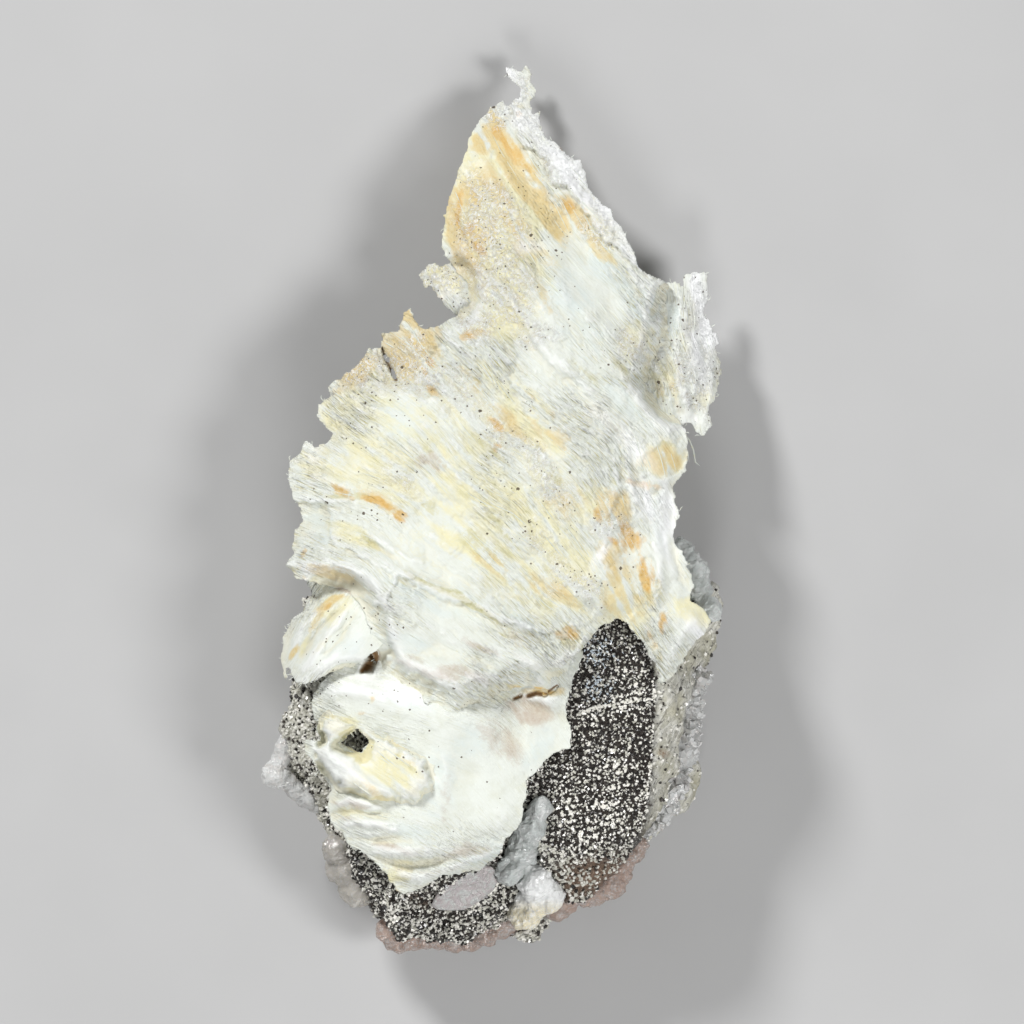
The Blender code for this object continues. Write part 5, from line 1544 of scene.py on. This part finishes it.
# The rock's flat druse face, as corners
DRUSE_FACE = [
    (612, 612), (630, 622), (642, 640), (652, 664), (656, 690), (654, 720), (652, 760), (648, 800),
    (640, 832), (624, 848), (600, 858), (566, 858), (548, 850), (522, 800), (520, 770), (550, 740),
    (560, 700), (566, 668), (584, 636), (600, 618),
]
DRUSE_LEDGE = [(578, 712), (604, 706), (632, 701), (655, 697)]  # a pale line of crystals across it
DRUSE_BAR = [(602, 808), (616, 804)]  # a short white crystal on it
DRUSE_START = 0.06  # the height that the grains are dropped from, in metres
WHITE_SPACING = 0.46  # the grid that keeps white grains apart
# Where the rock's foot begins, where it ends on the right, where the grey slab begins, and below
# which height white grains lie closer
FOOT_TOP, FOOT_RIGHT, SLAB_LEFT, DENSE_TOP = -42.0, 2.0, 17.0, -32.0
# Where the grains are painted bluish white, as a painted sheen on the druse face
SHEEN_PATCHES = [(598, 652, 16, 14, 0, 1.0), (600, 690, 14, 14, 0, 1.0)]  # where the grains are bluish
# Where the rock is rusty: across, down, half length, half width, degrees, strength
FOOT_RUST = [
    (592, 876, 40, 22, 12, 0.8), (420, 900, 30, 8, -30, 0.4), (560, 892, 20, 12, 0, 0.8),
    (663, 754, 5, 4, 0, 1.0),
]


class SPECIMEN_OT_rock(bpy.types.Operator):
    """Make the dolostone, rough on its broken faces"""

    bl_idname = "specimen.rock"
    bl_label = "Dolostone"

    def execute(self, context):
        look = settings().rock
        rock = fine_copy("broken_dolostone", "dolostone_matrix", look.cell / MM, 3)
        points, normals = points_of(rock) / MM, normals_of(rock)
        drawn = points - (*SHIFT, 0.0)
        face = smooth_step(ring_depth(drawn[:, 0], drawn[:, 1], DRUSE_FACE) / 1.5 + 0.5)
        face = face * smooth_step((normals[:, 2] - 0.6) / 0.25)
        off_back = smooth_step(points[:, 2] / 2.5)
        chips = np.abs(lumps(points, 4.5, 701, 4))
        pits = lumps(points, 1.3, 702, 3)
        slanted = points @ np.array([(0.53, 0.85, 0.0), (-0.85, 0.53, 0.0), (0.0, 0.0, 1.0)]).T
        strata = lumps(slanted * (0.4, 2.2, 2.2), 3.0, 703, 3)
        rough = look.rough / MM
        move = rough * (1.5 * (chips - 0.35) + 0.7 * pits + 0.5 * strata) * (1 - 0.8 * face)
        move += 0.10 * lumps(points, 0.9, 704, 2) * face
        points = points + normals * (move * off_back)[:, None]
        rock.data.vertices.foreach_set("co", (points * MM).astype(np.float32).reshape(-1))
        right = smooth_step((drawn[:, 0] - 17.5) / 3.0) * smooth_step((drawn[:, 1] + 46.0) / 4.0)
        left = smooth_step((-17.0 - drawn[:, 0]) / 3.0)
        sides = smooth_step((13.0 - points[:, 2]) / 5.0)
        grey = np.clip(right + left + 0.5 * sides, 0, 1) * (1 - face)
        add_field(rock, "grey", grey)
        add_field(rock, "sugar", np.clip(1.0 - 0.8 * grey, 0, 1))
        add_field(rock, "rust", patches(drawn[:, 0], drawn[:, 1], FOOT_RUST))
        dress(rock, rock_material(), "dolostone", "dolostone_matrix")
        return {"FINISHED"}


def tree_of(obj):
    """An object's faces as a tree that rays can be cast at."""
    mesh = obj.data
    return BVHTree.FromPolygons([v.co for v in mesh.vertices], [p.vertices for p in mesh.polygons])


class SPECIMEN_OT_druse(bpy.types.Operator):
    """Grow thousands of tiny crystals on the rock, thickest on its flat face"""

    bl_idname = "specimen.druse"
    bl_label = "Druse"

    def execute(self, context):
        dice = np.random.default_rng(11)
        tree = tree_of(bpy.data.objects["broken_dolostone"])
        low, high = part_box("dolostone_matrix")
        wanted = settings().rock.druse
        places, sizes, tones, taken = [], [], [], set()
        cover = [tree_of(bpy.data.objects[name]) for name in ("torn_main_sheet", "folded_apron")]
        while len(places) < wanted:
            x, y = dice.uniform(low.x, high.x), dice.uniform(low.y, high.y)
            start = Vector((x, y, DRUSE_START))
            down = Vector((0, 0, -1))
            if any(sheet.ray_cast(start, down)[0] is not None for sheet in cover):
                continue
            hit, normal, _, _ = tree.ray_cast(start, down)
            if hit is None:
                continue
            across, up = x / MM - SHIFT[0], y / MM - SHIFT[1]
            there = (np.array([across]), np.array([up]))
            on_face = ring_depth(*there, DRUSE_FACE)[0] > 0 and normal.z > 0.6
            at_foot = up < FOOT_TOP and across < FOOT_RIGHT
            on_slab = across > SLAB_LEFT and not on_face
            rusty = patches(*there, FOOT_RUST)[0]
            if dice.random() > (1.0 if on_face else 0.80 if at_foot else 0.05 if on_slab else 0.45):
                continue
            if not on_face and dice.random() < 0.8 * rusty:
                continue
            if on_face:
                size, tone = self.face_grain(dice, there, (x / MM, y / MM), taken)
            else:
                size, tone = self.loose_grain(dice, at_foot)
            places.append(hit + normal * size * 0.12 * MM)
            sizes.append(size * MM)
            tones.append(tone)
        made = scatter("druse_crystals", np.array(places), np.array(sizes), np.array(tones), 12)
        dress(made, sugar_material(), "dolostone")
        return {"FINISHED"}

    def face_grain(self, dice, there, place, taken):
        """Size and tone of a grain on the flat face, with its white grains kept apart."""
        chance = dice.random()
        size = dice.uniform(0.22, 0.32)
        ledge, bar = [path_distance(*there, line)[0] for line in (DRUSE_LEDGE, DRUSE_BAR)]
        column, row = [int(value / WHITE_SPACING) for value in place]
        near = {(column + i, row + j) for i in (-1, 0, 1) for j in (-1, 0, 1)}
        most = 5 if there[1][0] < DENSE_TOP else 3
        tone = dice.uniform(0.0, 0.3)
        if bar < 0.18:
            tone = 0.9
        elif ledge < 0.20 and chance < 0.75 or abs(ledge - 0.9) < 0.15 and chance < 0.35:
            tone = dice.uniform(0.72, 0.92)
        # Painted sheen: grains in these patches are bluish white
        elif chance < 0.35 * patches(*there, SHEEN_PATCHES)[0]:
            tone = dice.uniform(0.94, 1.0)
        elif chance < 0.60 and len(near & taken) < most:
            tone = dice.uniform(0.66, 0.92)
            taken.add((column, row))
        elif chance > 0.90:
            tone = dice.uniform(0.36, 0.5)
        else:
            size = size * 0.9
        return size, tone

    def loose_grain(self, dice, at_foot):
        """Size and tone of a grain beside the flat face, darker at the foot."""
        chance = dice.random()
        size = dice.uniform(0.18, 0.40)
        dark, grey = (0.50, 0.78) if at_foot else (0.22, 0.86)
        tone = dice.uniform(0.68, 0.92)
        if chance < dark:
            tone = dice.uniform(0.0, 0.3)
        elif chance < grey:
            tone = dice.uniform(0.36, 0.62)
        return size, tone


LUMP_FOOT = (-48.6, -50.4)  # where the white lump turns yellow, along Y
CALCITE_CELL, FLAKE_CELL = 0.38, 0.20  # how large the facets of the calcite and of the flake are


class SPECIMEN_OT_calcite(bpy.types.Operator):
    """Finish the calcite clusters and grow smaller crystals on them"""

    bl_idname = "specimen.calcite"
    bl_label = "Calcite"

    def execute(self, context):
        look = settings().calcite
        white, veil = look.white, look.pink_veil
        pink = calcite_material("pinkish_calcite", look.pink, veil, transmission=0.60, density=30.0)
        tan = calcite_material("tan_calcite", look.tan, veil, transmission=0.60, density=15.0)
        clear = calcite_material("clear_calcite", white, veil, transmission=0.40, density=2.0)
        grey = calcite_material("grey_calcite", look.grey, white, transmission=0.40, density=2.0)
        milky = calcite_material("milky_calcite", white, look.straw, 0.05, 6.0, foot=LUMP_FOOT)
        mauve = calcite_material("mauve_calcite", look.mauve, look.grey, transmission=0.45, density=15.0)
        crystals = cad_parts["right_calcite_rim"]
        crystals.data.materials.clear()
        crystals.data.materials.append(clear)
        rounded = (
            ("foot_calcite_rim", "rounded_foot_rim", pink, "calcite", 1, 0.55, 1.2),
            ("lower_right_calcite_rim", "rounded_lower_right_rim", pink, "calcite", 1, 0.55, 1.0),
            ("upper_right_calcite_crust", "crinkled_white_crust", grey, "white_calcite", 1, 0.70, 0.9),
            ("left_calcite_cluster", "clear_left_blobs", clear, "calcite", 2, 0.45, 1.4),
            ("grey_calcite_cluster", "bubbly_calcite", grey, "white_calcite", 2, 0.65, 1.1),
            ("white_calcite_lump", "milky_lump", milky, "white_calcite", 2, 0.60, 1.0),
            ("lower_left_calcite_lobe", "tan_lobe", tan, "calcite", 3, 0.60, 1.4),
            ("mauve_calcite_flake", "mauve_flake", mauve, "calcite", 1, 0.05, 2.0),
        )
        for node, name, material, slot, smoothing, bulge, bubble in rounded:
            flat = node != "mauve_calcite_flake"
            piece = fine_copy(name, node, CALCITE_CELL if flat else FLAKE_CELL, smoothing)
            points, normals = points_of(piece) / MM, normals_of(piece)
            rough = 0.12 * grains(points, 0.45, 802) + 0.12 * lumps(points, 0.7, 801, 3)
            move = bulge * (grains(points, bubble, 800) - 0.30) + min(bulge * 3, 1) * rough
            move = move * smooth_step(points[:, 2] / 1.5)
            points = points + normals * move[:, None]
            piece.data.vertices.foreach_set("co", (points * MM).astype(np.float32).reshape(-1))
            piece.data.polygons.foreach_set("use_smooth", np.full(len(piece.data.polygons), not flat))
            dress(piece, material, slot, node)
        self.grow_small("small_clear_crystals", clear, "right_calcite_rim")
        return {"FINISHED"}

    def grow_small(self, name, material, node):
        """Small rhombs on the faces of the large ones."""
        dice = np.random.default_rng(21)
        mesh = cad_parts[node].data
        areas = np.array([face.area for face in mesh.polygons])
        places, sizes = [], []
        for index in dice.choice(len(areas), settings().calcite.small, p=areas / areas.sum()):
            corners = [mesh.vertices[v].co for v in mesh.polygons[index].vertices]
            shares = dice.dirichlet(np.ones(len(corners)))
            places.append(sum((c * s for c, s in zip(corners, shares)), Vector()))
            sizes.append(dice.uniform(0.3, 0.9) * MM)
        made = scatter(name, np.array(places), np.array(sizes), np.zeros(len(places)), 22)
        dress(made, material, "calcite")


# Lights: name, place, size and power in watts
LIGHTS = (
    ("key_light", (-0.62, 0.84, 0.72), 0.24, 13.5),
    ("fill_light", (0.80, -0.30, 0.95), 0.40, 7.5),
    ("foot_light", (0.05, -0.95, 0.80), 0.40, 4.8),
)
SKY = 0.20  # how strong the even light from all sides is
LENS = 900.0  # the focal length in millimetres of the far camera


class SPECIMEN_OT_stage(bpy.types.Operator):
    """Lay the floor, light it softly and look straight down"""

    bl_idname = "specimen.stage"
    bl_label = "Stage"

    def execute(self, context):
        look = settings().stage
        points = np.array([(-1, -1, 0), (1, -1, 0), (1, 1, 0), (-1, 1, 0)]) * 1.5
        floor = new_object("floor", points, np.array([(0, 1, 2, 3)]))
        recipe = Recipe("pale_floor")
        mottle = recipe.noise(40.0, 3.0)
        darker = tuple(0.94 * value for value in look.floor)
        colour = recipe.blend(look.floor, darker, recipe.step(mottle, 0.3, 0.7))
        floor.data.materials.append(recipe.shade({"Base Color": colour, "Roughness": 0.85}))
        for name, place, size, power in LIGHTS:
            light = bpy.data.lights.new(name, "AREA")
            light.shape = "DISK"
            light.size = size
            light.energy = power
            made = bpy.data.objects.new(name, light)
            made.location = place
            made.rotation_euler = Vector(place).to_track_quat("Z", "Y").to_euler()
            context.scene.collection.objects.link(made)
        world = bpy.data.worlds.new("soft_sky")
        world.use_nodes = True
        sky = world.node_tree.nodes["Background"]
        sky.inputs["Color"].default_value = (1.0, 1.0, 1.0, 1.0)
        sky.inputs["Strength"].default_value = SKY
        context.scene.world = world
        camera = bpy.data.cameras.new("camera")
        camera.lens = LENS
        made = bpy.data.objects.new("camera", camera)
        x, y, _ = placed(*spot(*FRAME_MIDDLE), 0.0)
        made.location = (x, y, FELT_FRONT + look.distance)
        context.scene.collection.objects.link(made)
        context.scene.camera = made
        context.scene.view_settings.view_transform = "Standard"
        return {"FINISHED"}


class SPECIMEN_PT_panel(bpy.types.Panel):
    """Lists the specimen's pieces and settings"""

    bl_label = "Palygorskite specimen"
    bl_idname = "SPECIMEN_PT_panel"
    bl_space_type = "VIEW_3D"
    bl_region_type = "UI"
    bl_category = "Specimen"

    def draw(self, context):
        for made in OPERATORS:
            self.layout.operator(made.bl_idname)
        for group in ("felt", "rock", "calcite", "stage"):
            box = self.layout.box()
            box.label(text=group.capitalize())
            values = getattr(context.scene.specimen, group)
            for name in values.__annotations__:
                box.prop(values, name)


OPERATORS = (
    SPECIMEN_OT_stage, SPECIMEN_OT_side_flaps, SPECIMEN_OT_lower_sheets, SPECIMEN_OT_main_sheet,
    SPECIMEN_OT_threads, SPECIMEN_OT_rock, SPECIMEN_OT_druse, SPECIMEN_OT_calcite,
)
CLASSES = (
    FeltSettings, RockSettings, CalciteSettings, StageSettings, SpecimenSettings, *OPERATORS,
    SPECIMEN_PT_panel,
)


def register():
    for made in CLASSES:
        bpy.utils.register_class(made)
    bpy.types.Scene.specimen = PointerProperty(type=SpecimenSettings)


def unregister():
    del bpy.types.Scene.specimen
    for made in reversed(CLASSES):
        bpy.utils.unregister_class(made)


def main():
    register()
    bpy.ops.specimen.stage()
    bpy.ops.specimen.side_flaps()
    bpy.ops.specimen.lower_sheets()
    bpy.ops.specimen.main_sheet()
    bpy.ops.specimen.threads()
    bpy.ops.specimen.rock()
    bpy.ops.specimen.druse()
    bpy.ops.specimen.calcite()


if __name__ == "__main__":
    main()
